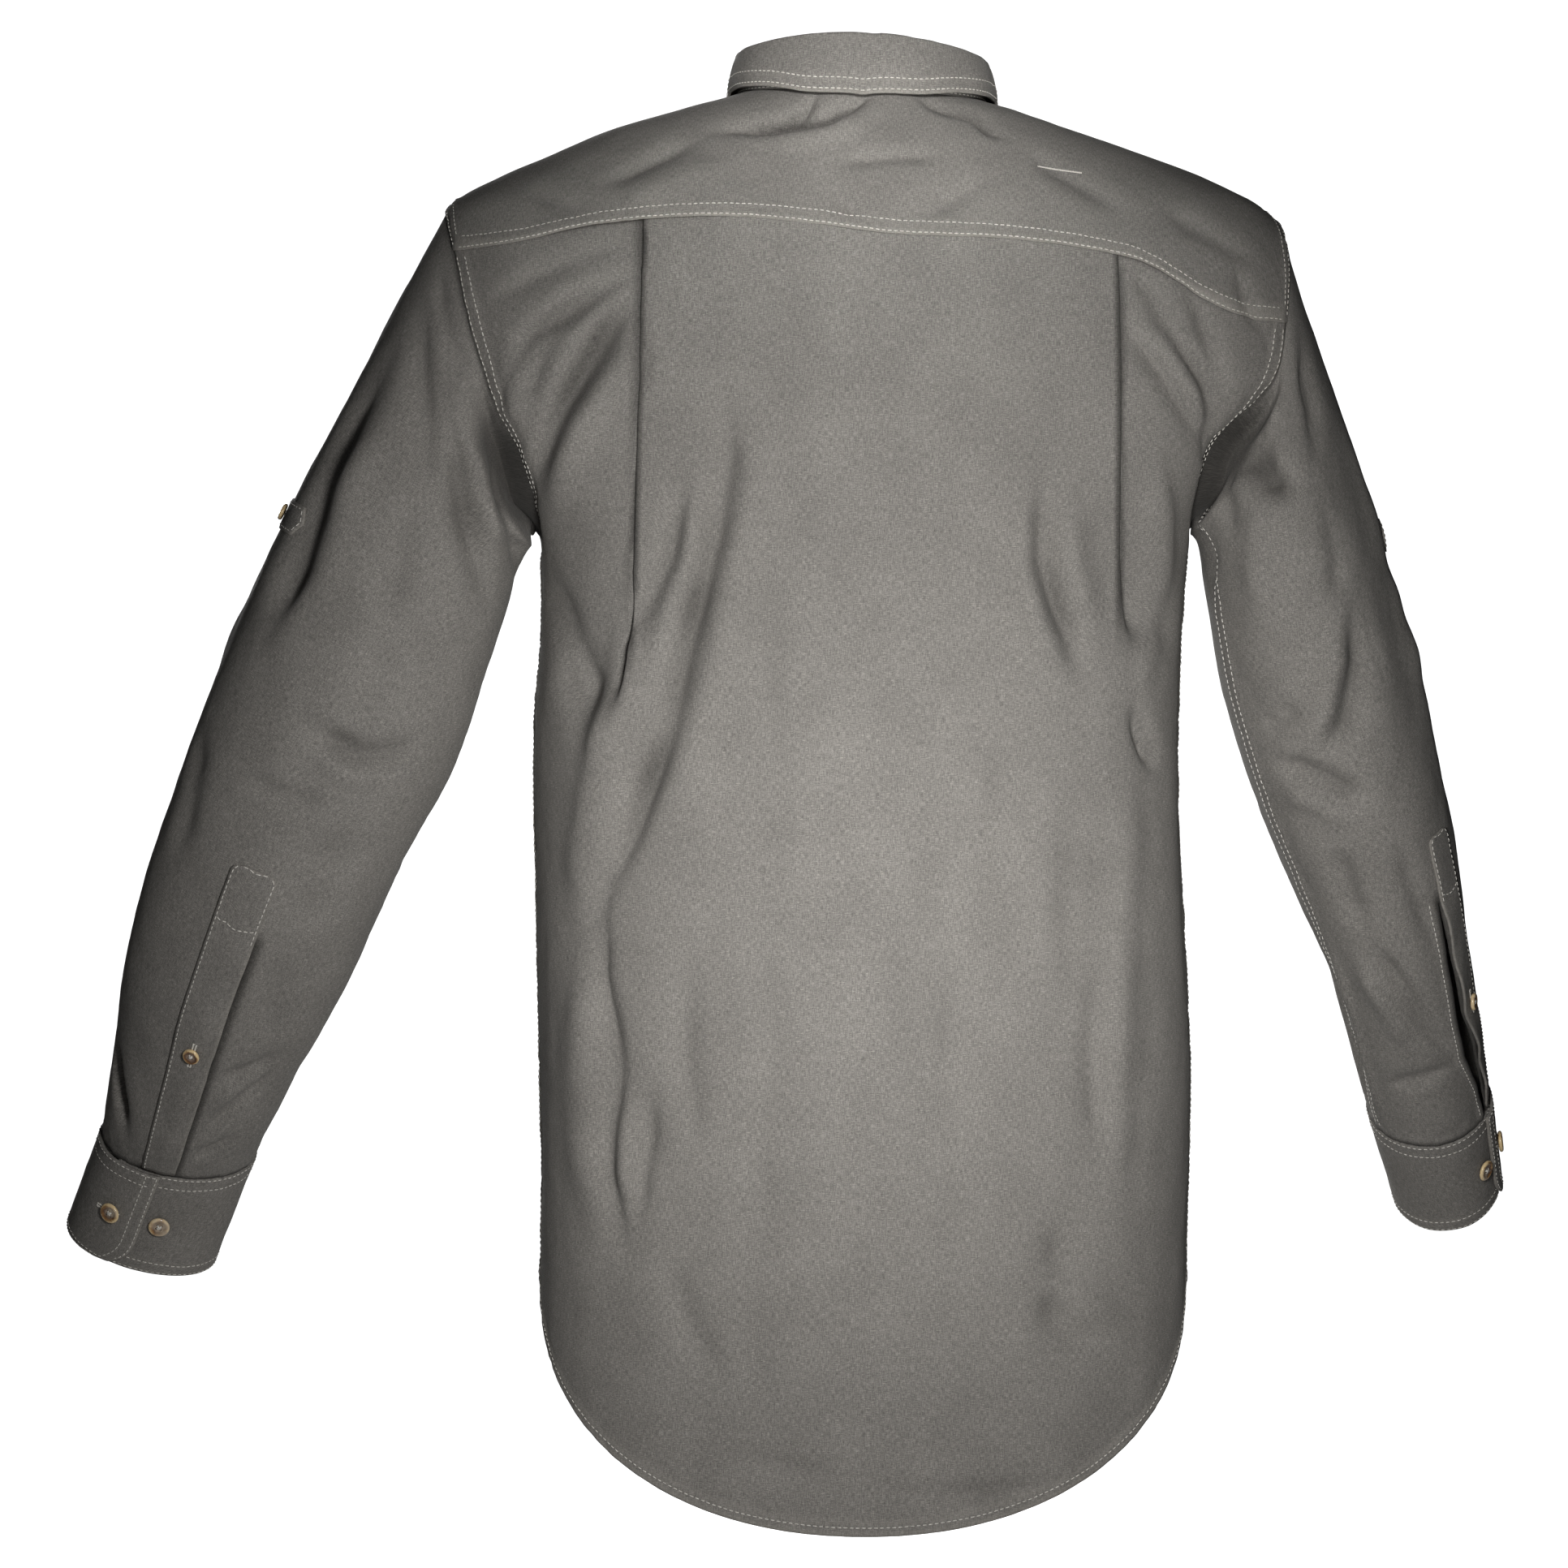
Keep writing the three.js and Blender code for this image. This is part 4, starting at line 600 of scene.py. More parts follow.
def shell(name, panel, thickness, node_name, missing=None, wear_and_shade=None):
    """The cloth of a panel as a thin closed shell, in place of its part from the solids."""
    p, n = panel.points, panel.normals
    panel.thick = thickness
    rows, columns = p.shape[:2]
    cells = columns if panel.ring else columns - 1
    has = np.ones((rows - 1, cells), bool)
    if missing is not None:
        has &= ~missing

    def ids(r, c, side):
        return side * rows * columns + r * columns + c % columns

    def neighbour(dr, dc):
        if panel.ring and dc:
            return np.roll(has, -dc, axis=1)
        return np.pad(has, 1)[1 + dr : rows + dr, 1 + dc : 1 + cells + dc]

    r, c = np.nonzero(has)
    faces = [
        np.stack([ids(r, c, 0), ids(r, c + 1, 0), ids(r + 1, c + 1, 0), ids(r + 1, c, 0)], 1),
        np.stack([ids(r, c, 1), ids(r + 1, c, 1), ids(r + 1, c + 1, 1), ids(r, c + 1, 1)], 1),
    ]
    for (dr, dc), corners in {
        (-1, 0): ((0, 0), (0, 1)), (1, 0): ((1, 1), (1, 0)),
        (0, -1): ((1, 0), (0, 0)), (0, 1): ((0, 1), (1, 1)),
    }.items():
        r, c = np.nonzero(has & ~neighbour(dr, dc))
        a, b = ((r + down, c + along) for down, along in corners)
        faces.append(np.stack([ids(*a, 0), ids(*a, 1), ids(*b, 1), ids(*b, 0)], 1))
    faces = np.concatenate(faces)[:, :: int(panel.sign)]
    used, order = np.unique(faces, return_inverse=True)
    faces = order.reshape(faces.shape)
    vertices = np.concatenate([(p + n * thickness * side).reshape(-1, 3) for side in (0.5, -0.5)])
    across, down = panel.grain()
    cloth = np.stack([across, down, np.zeros_like(down)], -1).reshape(-1, 3) * MM
    # Pale wear above zero and painted shade below zero, for the cloth's colour
    wear_shade_values = np.zeros(rows * columns) if wear_and_shade is None else wear_and_shade.ravel()
    piece = add_mesh(name, vertices[used], faces, GREY, {
        "cloth": ("FLOAT_VECTOR", np.concatenate([cloth] * 2)[used]),
        "wear_and_shade": ("FLOAT", np.concatenate([wear_shade_values] * 2)[used]),
    })
    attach(piece, "root")
    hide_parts(node_name)
    width = float(panel.across[:, -1].max())
    if panel.ring:
        width += float(np.linalg.norm(p[:, 0] - p[:, -1], axis=1).max())


# One short thread: four rings of four points, closed at both ends
BAR_SIDES = [[k + a, k + b, k + b + 4, k + a + 4] for k in (0, 4, 8) for a, b in ((0, 1), (1, 2), (2, 3), (3, 0))]
BAR_FACES = np.array(BAR_SIDES + [[3, 2, 1, 0], [12, 13, 14, 15]])


class Thread:
    """All the stitches, gathered into one mesh."""

    def __init__(self):
        self.vertices, self.faces, self.count = [], [], 0

    def row(self, points, normals):
        """Short sunk loops of thread along a line on the cloth."""
        reach = running(points)
        if reach[-1] < STITCH_LONG:
            return
        count = max(int(reach[-1] / (STITCH_LONG + STITCH_GAP)), 1)
        pitch = reach[-1] / count
        starts = np.arange(count) * pitch + STITCH_GAP / 2
        first, last, up = (
            np.stack([np.interp(at, reach, field[:, k]) for k in range(3)], 1)
            for at, field in ((starts, points), (starts + pitch - STITCH_GAP, points), (starts + pitch / 2, normals))
        )
        self.bars(first, last, unit(up), THREAD_RADIUS, 0.1)

    def bars(self, first, last, up, radius, height):
        """Short threads from point to point, their ends sunk and their middles raised by a height."""
        parts = np.array([0, 0.22, 0.78, 1])[None, :, None]
        rise = np.array([-0.16, height, height, -0.16])[None, :, None]
        thick = (np.array([0.7, 1.0, 1.0, 0.7]) * radius)[None, :, None]
        middle = first[:, None] + (last - first)[:, None] * parts + up[:, None] * rise
        side = unit(np.cross(up, last - first))[:, None]
        ring = [middle + side * thick * math.cos(a) + up[:, None] * thick * math.sin(a)
                for a in (0, math.pi / 2, math.pi, 3 * math.pi / 2)]
        base = self.count + np.arange(len(first))[:, None, None] * 16
        self.vertices.append(np.stack(ring, 2).reshape(-1, 3))
        self.faces.append((base + BAR_FACES[None]).reshape(-1, 4))
        self.count += len(self.vertices[-1])

    def bar(self, first, last, up, radius, height):
        self.bars(first[None], last[None], up[None], radius, height)

    def make(self, name, material):
        piece = add_mesh(name, np.concatenate(self.vertices), np.concatenate(self.faces), material)
        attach(piece, "root")


def running(points):
    """The length along a line, from its start to each of its points."""
    return np.concatenate([[0], np.cumsum(np.linalg.norm(np.diff(points, axis=0), axis=1))])


def spacing(total, usual, fine, start=0.0, end=0.0):
    """Shares from 0 to 1 of a length, in usual steps, with fine steps over a stretch at either end."""
    def part(length, step):
        return np.linspace(0, length, max(int(round(length / step)), 1) + 1)

    middle = total - start - end
    marks = [part(start, fine)] if start else [np.zeros(1)]
    marks.append(start + part(middle, usual)[1:])
    if end:
        marks.append(start + middle + part(end, fine)[1:])
    return np.concatenate(marks) / total


def armhole_place(side, turn):
    hole, angle = ARMHOLE[side], np.radians(turn)
    z = (hole["top"] + hole["bottom"]) / 2 + (hole["top"] - hole["bottom"]) / 2 * np.cos(angle)
    y = np.sin(angle) * np.where(np.sin(angle) > 0, hole["back"], hole["front"])
    return form_x(side, y, z), y, z


def neck_place(turn):
    angle = np.radians(turn)
    x = NECK_HALF_WIDTH * np.sin(angle)
    front = np.cos(angle) < 0
    z = NECK_TILT * x - np.where(front, NECK_DROP * np.cos(angle) ** 2, 0)
    return x, np.where(front, form_y(x, z, -1), form_y(x, z, 1)), z


def sideways(x, width):
    return np.sign(x) * np.arcsin(np.minimum(np.abs(x) / width, 1) ** (1 / SIDE_POWER))


def hem_z(tail, x):
    wide = np.where(np.asarray(x) >= 0, FORM["left"](tail["low"]), FORM["right"](tail["low"]))
    return tail["low"] + tail["rise"] * (np.abs(sideways(x, wide)) / (math.pi / 2)) ** tail["power"]


def edge_levels(side, turns, below):
    """Points of a panel's edge on one side: down the armhole, then down the side seam."""
    x, y, z = armhole_place(side, turns)
    bottom = ARMHOLE[side]["bottom"]
    low = bottom + (SIDE_HEM - bottom) * below
    return np.concatenate([x, form_x(side, 0 * low, low)]), np.concatenate([y, 0 * low]), np.concatenate([z, low])


def pleat_steps(share, depth):
    """A knife pleat across one row: steps along and down that run under its edge and out again."""
    turned = 180 * (1 - ease((share - PLEAT["opens_at"]) / PLEAT["opens_over"]))
    laid = mix(depth, PLEAT["lip"], ease(share / 0.8)) if turned >= 179 else PLEAT["lip"]
    chord = mix(PLEAT["flat_step"], 1.0, turned / 180)
    bends = (np.arange(6) + 0.5) / 6 * turned
    angles = np.radians(np.concatenate([bends, np.full(5, turned), bends[::-1]]))
    lengths = np.concatenate([np.full(6, chord / 3), np.full(5, laid / 5), np.full(6, chord / 3)])
    along = np.concatenate([[0], np.cumsum(lengths * np.cos(angles))])
    return along, -np.concatenate([[0], np.cumsum(lengths * np.sin(angles))])


def armhole_turns(first):
    """Turns down an armhole to its lowest point, with the last steps no flatter than the rest."""
    return 180 + (first - 180) * (1 - np.linspace(0, 1, ARMHOLE_ROWS)) ** 0.62


SIDE_SHARES = spacing(100, 4.2, 1.6, 0, 18)
MIDDLE_CELLS = 84
BELOW = spacing(430, 3.9, 1.3, 0, 12)[1:]


def back_top_z(x, corner):
    """The yoke seam across the back, drawn to its corners at the armholes."""
    corner_x, _, corner_z = (np.where(x >= 0, *both) for both in zip(corner["left"], corner["right"]))
    share = ease((np.abs(x) - 150) / (np.abs(corner_x) - 150))
    return mix(yoke_seam_z(x), corner_z, share)


def make_back():
    tuck = np.array([-5.0, -2.5])
    edges = {}
    for side in SIDES:
        first = ARMHOLE[side]["yoke_back"]
        edges[side] = np.array(edge_levels(side, np.concatenate([first + tuck, armhole_turns(first)]), BELOW))
    corner = {side: edges[side][:, len(tuck)] for side in SIDES}
    grid = []
    for r in range(edges["left"].shape[1]):
        edge = {side: edges[side][:, r] for side in SIDES}
        parts = {}
        for side, p in PLEATS.items():
            seam = float(yoke_seam_z(p["x"]))
            share = float(np.clip((seam - edge[side][2]) / (seam - p["low_z"]), 0, 1.2))
            along, down = pleat_steps(min(share, 1), p["depth"])
            base = mix(p["x"], p["low_x"], min(share, 1))
            down = down * (1 - ease((share - PLEAT["gone_from"]) / 0.3))
            x = base + np.sign(p["x"]) * along
            width = FORM[side](edge[side][2])
            angles = mix(sideways(x[-1], width), sideways(edge[side][0], width), SIDE_SHARES[1:])
            outer = np.sign(p["x"]) * width * np.abs(np.sin(angles)) ** SIDE_POWER
            outer[-1] = edge[side][0]
            low = down[-1] * (1 - ease(SIDE_SHARES[1:] * 1.6))
            parts[side] = np.array([np.concatenate([x, outer]), np.concatenate([down, low])])
        left, right = parts["left"], parts["right"]
        middle = np.linspace(right[0, 0], left[0, 0], MIDDLE_CELLS + 1)[1:-1]
        x, down = np.concatenate([right[:, ::-1], [middle, 0 * middle], left], axis=1)
        across = np.clip((x - edge["right"][0]) / (edge["left"][0] - edge["right"][0]), 0, 1)
        depth = {s: (corner[s][2] - edge[s][2]) / (corner[s][2] - SIDE_HEM) for s in SIDES}
        share = mix(depth["right"], depth["left"], across)
        z = mix(back_top_z(x, corner), hem_z(TAIL_BACK, x), share)
        y = form_y(x, z, 1)
        for k, side in ((0, "right"), (-1, "left")):
            x[k], y[k], z[k] = edge[side]
        grid.append((x, y, z, down - (1.0 if r < len(tuck) else 0.0)))
    return Panel(skin(*np.swapaxes(np.array(grid), 0, 1)))


def yoke_points(neck, outer, shares):
    share = shares[:, None]
    x, y = mix(neck[0], outer[0], share), mix(neck[1], outer[1], share)
    z = form_z(x, y)
    z[0], z[-1] = neck[2], outer[2]
    return x, y, z


def make_yoke():
    corner = {side: armhole_place(side, ARMHOLE[side]["yoke_back"]) for side in ARMHOLE}
    arms = {side: armhole_place(side, np.linspace(hole["yoke_front"], hole["yoke_back"], 30))
            for side, hole in ARMHOLE.items()}
    seam_x = np.linspace(float(corner["right"][0]), float(corner["left"][0]), 170)[1:-1]
    seam_z = back_top_z(seam_x, corner)
    seam = (seam_x, form_y(seam_x, seam_z, 1), seam_z)
    outer = [np.concatenate([arms["right"][k], seam[k], arms["left"][k][::-1]]) for k in range(3)]
    turns = np.concatenate([
        np.linspace(-YOKE_NECK["corner"], -YOKE_NECK["seam"], 30),
        np.linspace(-YOKE_NECK["seam"], YOKE_NECK["seam"], 170)[1:-1],
        np.linspace(YOKE_NECK["seam"], YOKE_NECK["corner"], 30),
    ])
    shares = spacing(130, 3.4, 1.5, 4, 14)
    x, y, z = yoke_points(neck_place(turns), outer, shares)
    return Panel(skin(x, y, z, 0.0))


def make_front(side):
    out, hole = OUT[side], ARMHOLE[side]
    turns = armhole_turns(360 + hole["yoke_front"])
    edge = edge_levels(side, turns, BELOW)
    shoulder = yoke_points(neck_place(np.array([YOKE_NECK["corner"] * out])),
                           [np.array([v]) for v in armhole_place(side, hole["yoke_front"])],
                           spacing(150, 4.2, 1.6, 0, 14))
    shoulder = [v[::-1, 0] for v in shoulder]
    turn_at = lambda x: 180 - math.degrees(math.asin(x / NECK_HALF_WIDTH))
    neck_turns = np.concatenate([
        np.linspace(YOKE_NECK["corner"], turn_at(OVERLAP), 25)[1:],
        [turn_at(x) for x in np.linspace(OVERLAP, -OVERLAP, STRIP_COLUMNS)[1:]],
    ])
    neck = neck_place(neck_turns * out)
    top = [np.concatenate([shoulder[k], neck[k]]) for k in range(3)]
    free = len(shoulder[0]) + 23
    place = np.concatenate([np.linspace(0, 5, len(shoulder[0])), np.linspace(5, 9, 25)[1:]])
    low = np.sin(mix(math.pi / 2, sideways(OVERLAP, HALF_CHEST), place / 9)) ** SIDE_POWER
    share = ((edge[2][0] - edge[2]) / (edge[2][0] - SIDE_HEM))[:, None]
    high = top[0][: free + 1] / top[0][0]
    x = edge[0][:, None] * mix(high, low, ease(share / 0.3))
    centre = out * np.linspace(OVERLAP, -OVERLAP, STRIP_COLUMNS)[1:]
    x = np.concatenate([x, np.broadcast_to(centre, (len(x), len(centre)))], axis=1)
    x[0] = top[0]
    z = mix(top[2], hem_z(TAIL_FRONT, x), share)
    y = form_y(x, z, -1)
    x[:, 0], y[:, 0], z[:, 0] = edge
    y[0], z[0] = top[1], top[2]
    sink = np.zeros(x.shape)
    if side == "right":
        sink = -UNDERLAP_DEPTH * ease((50 + np.minimum(x, 0)) / 30)
    # One more column tucks under the back at the side seam
    reach = np.concatenate([np.full(ARMHOLE_ROWS, 0.3), np.full(len(BELOW), TUCK)])
    reach[ARMHOLE_ROWS : ARMHOLE_ROWS + 12] = np.linspace(0.3, TUCK, 12)
    tuck_y = y[:, 0] + reach
    x = np.concatenate([form_x(side, tuck_y, z[:, 0])[:, None], x], axis=1)
    y, z = np.concatenate([tuck_y[:, None], y], axis=1), np.concatenate([z[:, :1], z], axis=1)
    sink = np.concatenate([sink[:, :1] - 1.0 * (reach[:, None] > 1), sink], axis=1)
    points = skin(x, y, z, sink)
    # One more row tucks under the yoke and into the collar
    along = np.where(np.arange(x.shape[1]) <= len(shoulder[0]), TUCK, 1.5)[:, None]
    normal = form_normal(x[0], y[0], z[0])
    above = points[0] + unit(points[0] - points[1]) * along - normal * 1.0
    return Panel(np.concatenate([above[None], points]))


def outwards(turn):
    angle = np.radians(turn)
    return vector(np.sin(angle), np.cos(angle), 0)


def stand_grid(turns, shares):
    facing = np.cos(np.radians(turns))
    height = mix(STAND_HEIGHT["side"], np.where(facing > 0, STAND_HEIGHT["back"], STAND_HEIGHT["front"]), facing**2)
    up = np.array([0, 0, 1.0])
    out = outwards(turns)
    place = neck_place(turns)
    top = skin(*place, STAND_LIFT) - out * (STAND_LEAN * height)[:, None] + up * height[:, None]
    foot = skin(*place, 0.2)
    lap = {s: ease((s * turns - 180 + 2.2 * STAND_LAP_TURN) / STAND_LAP_SPREAD) for s in (1, -1)}
    shift = out * (0.4 * lap[1] - 2.6 * lap[-1])[:, None]
    return mix(foot[None], top[None], shares[:, None, None]) + shift[None]


def make_collar():
    reach = 180 + STAND_LAP_TURN
    turns = np.linspace(-reach, reach, STAND_COLUMNS)
    stand = Panel(stand_grid(turns, np.linspace(0, 1, STAND_ROWS)), centre=(0, 0, None))
    leaf_turns = np.linspace(-176, 176, 190)
    top = stand_grid(leaf_turns, np.array([0, 1.0]))[1]
    out, up = outwards(leaf_turns), np.array([0, 0, 1.0])
    knots = np.arange(6.0)
    fine = np.linspace(0, 5, 16)
    roll = {"k": knots, **LEAF_ROLL}
    roll_out, roll_up = curve(roll, "k", "out")(fine), curve(roll, "k", "up")(fine)
    rolled = top[None] + out[None] * roll_out[:, None, None] + up * (roll_up + 0.8)[:, None, None]
    side = np.where(leaf_turns < 0, -1, 1)
    read = {name: curve(LEAF_EDGE, "turn", name)(np.abs(leaf_turns)) for name in ("x", "y", "lift")}
    x, y = side * read["x"], read["y"]
    edge = vector(x, y, form_z(x, y) + read["lift"])
    fall = spacing(40, 3, 1.2, 0, 12)[1:, None, None]
    bulge = 1.4 * np.sin(math.pi * fall)
    lower = mix(rolled[-1][None], edge[None], fall) + out[None] * bulge
    return stand, Panel(np.concatenate([rolled, lower]), centre=(0, 0, None))


def sleeve_frames(side):
    s = SLEEVES[side]
    outer, inner = vector(s["out_x"], s["mid"], s["out_z"]), vector(s["in_x"], s["mid"], s["in_z"])
    centre = (outer + inner) / 2
    last = len(centre) - 1
    i = np.arange(last + 1)
    axis = unit(centre[np.minimum(i + 1, last)] - centre[np.maximum(i - 1, 0)])
    back = unit(np.array([0, 1.0, 0]) - axis * axis[:, 1:2]) * s["depth"][:, None]
    return centre, outer - centre, back


def section_points(frames, turns):
    centre, half, back = frames
    angle = np.radians(turns)
    return (centre[:, None] + half[:, None] * np.cos(angle)[None, :, None]
            + back[:, None] * np.sin(angle)[None, :, None])


def smooth_line(knots, t):
    """Points along centripetal curves through knots, one curve for each column."""
    count = len(knots)
    p = t * (count - 1)
    i = np.minimum(np.floor(p).astype(int), count - 2)
    w = (p - i)[:, None, None]
    before = np.concatenate([(2 * knots[0] - knots[1])[None], knots[:-1]])
    after = np.concatenate([knots[1:], (2 * knots[-1] - knots[-2])[None]])
    p0, p1, p2, p3 = before[i], knots[i], knots[i + 1], after[i + 1]
    d0, d1, d2 = (np.linalg.norm(b - a, axis=-1, keepdims=True) ** 0.5 for a, b in ((p0, p1), (p1, p2), (p2, p3)))
    t1 = ((p1 - p0) / d0 - (p2 - p0) / (d0 + d1) + (p2 - p1) / d1) * d1
    t2 = ((p2 - p1) / d1 - (p3 - p1) / (d1 + d2) + (p3 - p2) / d2) * d1
    return p1 + t1 * w + (-3 * p1 + 3 * p2 - 2 * t1 - t2) * w**2 + (2 * p1 - 2 * p2 + t1 + t2) * w**3

def sleeve_height(side, turns, shares):
    """How far the folds raise a sleeve's cloth or sink it, with the hollow behind the armhole's lower half."""
    down = (shares * SLEEVE_LENGTH)[:, None]
    height = np.zeros((len(shares), len(turns)))
    for fold in SLEEVE_FOLDS[side]:
        line = np.array(fold[3:], float).reshape(-1, 2)
        middle = line[len(line) // 2, 0]
        wrapped = (turns - middle + 180) % 360 - 180 + middle
        around = np.radians(wrapped)[None] * SLEEVE_RADIUS
        line = np.stack([np.radians(line[:, 0]) * SLEEVE_RADIUS, line[:, 1] * SLEEVE_LENGTH], 1)
        numbers = (*fold[:3], *line.ravel())
        height += FOLD_DEPTH["sleeve"] * fold_height(*np.broadcast_arrays(around, down), numbers)
    height *= (ease(shares / 0.07) * ease((1 - shares) / 0.03))[:, None]
    first, full, deep, reach = PITS[side]
    window = ease((turns - first) / (full - first)) * ease((205 - turns) / 25)
    widen = reach * (0.5 + 0.5 * window)
    return height - deep * window * ease(down / 7) * (1 - ease((down - 9) / widen))


def pit_shade(side, turns, top):
    """Where little light gets in: the hollow behind the armhole, and the sleeve's inner side."""
    first, full, _, reach = PITS[side]
    window = ease((turns - first) / (full - first)) * ease((230 - turns) / 30)
    pit = 0.95 * window * (1 - ease((top - 2) / (reach * (0.4 + 0.6 * window))))
    inner = 0.6 * near(turns - 192, 20) * (1 - ease((top - 70) / 160))
    return np.maximum(pit, inner)


def painted_trough_shade(height):
    """Painted shade where a trough is deep, as little light reaches its floor."""
    return 0.66 * ease((-height - 2.5) / 13)


class Sleeve(Panel):
    """A sleeve from the armhole to the cuff: rows run down it, columns go round it by their turn."""

    def __init__(self, side):
        self.side = side
        trim = TRIM[side]
        centre, half, back = sleeve_frames(side)
        frames = centre[:-1], half[:-1], back[:-1]
        first = ARMHOLE[side]["yoke_front"]
        turns = first + np.arange(0, 360, 2.5)
        self.turns = np.sort(np.concatenate([turns[np.abs(turns - trim["slit"]) > 1.6],
                                             [trim["slit"] - 0.1, trim["slit"] + 0.1]]))
        self.slit_cell = int(np.searchsorted(self.turns, trim["slit"])) - 1
        self.shares = spacing(SLEEVE_LENGTH, 3.6, 2.0, 20, 16)
        axis = unit(frames[0][2] - frames[0][0])

        def knots_at(turns):
            place = armhole_place(side, turns)
            start = skin(*place, ARMHOLE_LIFT - 0.8) + axis * ARMHOLE_GAP
            return np.concatenate([start[None], section_points(frames, turns)])

        reach = running(knots_at(np.array([90.0]))[:, 0])
        knot_at = lambda share: np.interp(share * reach[-1], reach, np.arange(len(reach))) / (len(reach) - 1)
        at = knot_at(self.shares)
        # The slit wanders and gapes, and the cloth within a quarter turn of it moves along
        path = trim["slit_path"]
        centre_turn, gap = (np.interp(self.shares, path["share"], path[name])[:, None] for name in ("turn", "gap"))
        half = np.degrees(gap / 2 / SLEEVE_RADIUS)
        below = np.arange(len(self.turns)) <= self.slit_cell
        keep = 1 - np.clip((np.abs(self.turns - trim["slit"]) - 25) / 65, 0, 1)
        true_turns = self.turns + (centre_turn - trim["slit"] + np.where(below, -half, half)) * keep
        points = np.stack([smooth_line(knots_at(row), at[r : r + 1])[0] for r, row in enumerate(true_turns)])
        super().__init__(points, ring=True)
        axis = unit(centre[-1] - centre[0])
        self.threads = self.across_from(int(np.argmin(np.abs(self.turns - 90)))), points @ axis

    def measure(self):
        super().measure()
        if (self.normals * (self.points - self.points.mean(axis=1, keepdims=True))).sum() < 0:
            self.normals, self.sign = -self.normals, -self.sign

    def rows_of(self, share):
        return np.interp(share, self.shares, np.arange(len(self.shares)))

    def columns_of(self, turn):
        wrapped = (np.asarray(turn) - self.turns[0]) % 360 + self.turns[0]
        return np.interp(wrapped, np.append(self.turns, self.turns[0] + 360), np.arange(len(self.turns) + 1))

    def centre_at(self, share):
        return tuple(self.points[int(self.rows_of(share))].mean(axis=0))

    def place(self, turn, share, lift=0.0):
        return self.at(self.rows_of(share), self.columns_of(turn), lift)

    def tucked(self):
        """The same cloth with one more row under the body and one inside the cuff."""
        p, n = self.points, self.normals
        round_it = np.roll(p[0], -1, 0) - np.roll(p[0], 1, 0)
        inwards = unit(np.cross(round_it, n[0]))
        middle = np.array([0, 0, ARMHOLE[self.side]["bottom"] - 60.0])
        inwards *= np.sign(((middle - p[0]) * inwards).sum(-1, keepdims=True))
        body = form_normal(p[0, :, 0], p[0, :, 1], p[0, :, 2])
        inwards = unit(inwards - body * (inwards * body).sum(-1, keepdims=True))
        first = p[0] + inwards * TUCK - body * 1.6
        last = p[-1] + unit(p[-1] - p[-3]) * TUCK - n[-1] * 2.4
        tucked = Panel(np.concatenate([first[None], p, last[None]]), ring=True)
        tucked.normals = np.concatenate([n[:1], n, n[-1:]])
        tucked.sign = self.sign
        across, down = self.threads
        tucked.threads = tuple(np.concatenate([v[:1], v, v[-1:]]) for v in (across, down))
        return tucked


def cuff_place(side):
    centre, half, back = sleeve_frames(side)

    def place(turn, share, lift):
        turn, share, lift = np.broadcast_arrays(*(np.asarray(v, float) for v in (turn, share, lift)))
        ends = section_points((centre[-2:], half[-2:], back[-2:]), turn.ravel())
        s = share.ravel()[:, None]
        point = mix(ends[0], ends[1], s)
        middle = mix(centre[-2], centre[-1], s)
        point = point + unit(ends[1] - ends[0]) * (1 - s) * 0.2
        point = point + unit(point - middle) * lift.ravel()[:, None]
        return point.reshape(*turn.shape, 3)

    return place


def cuff_lap(side, turn):
    start = TRIM[side]["lap_end"] - UNDERLAP_TURN
    return CUFF_LAP * ease((turn - (start + 360) + 40) / 38)


def make_cuff(side):
    lap_end = TRIM[side]["lap_end"]
    start = lap_end - UNDERLAP_TURN
    shares = spacing(60, 3, 1.2, 10, 12)
    bend = np.clip((shares - CUFF_CORNER["from"]) / CUFF_CORNER["over"], 0, 1)
    end = lap_end + 360 - CUFF_CORNER["turn"] * (1 - np.sqrt(np.maximum(1 - bend**2, 0)))
    columns = spacing(250, 3, 1.2, 8, 14)
    turns = mix(start, end[:, None], columns[None])
    place = cuff_place(side)
    points = place(turns, shares[:, None], cuff_lap(side, turns) + 0.5)
    centre = sleeve_frames(side)[0][-2:].mean(axis=0)

    def locate(turn, share):
        turn = turn + 360 if turn < lap_end else turn
        across = (turn - start) / (lap_end + 360 - start)
        return (float(np.interp(share, shares, np.arange(len(shares)))),
                float(np.interp(across, columns, np.arange(len(columns)))))

    return Panel(points, centre=tuple(centre)), locate


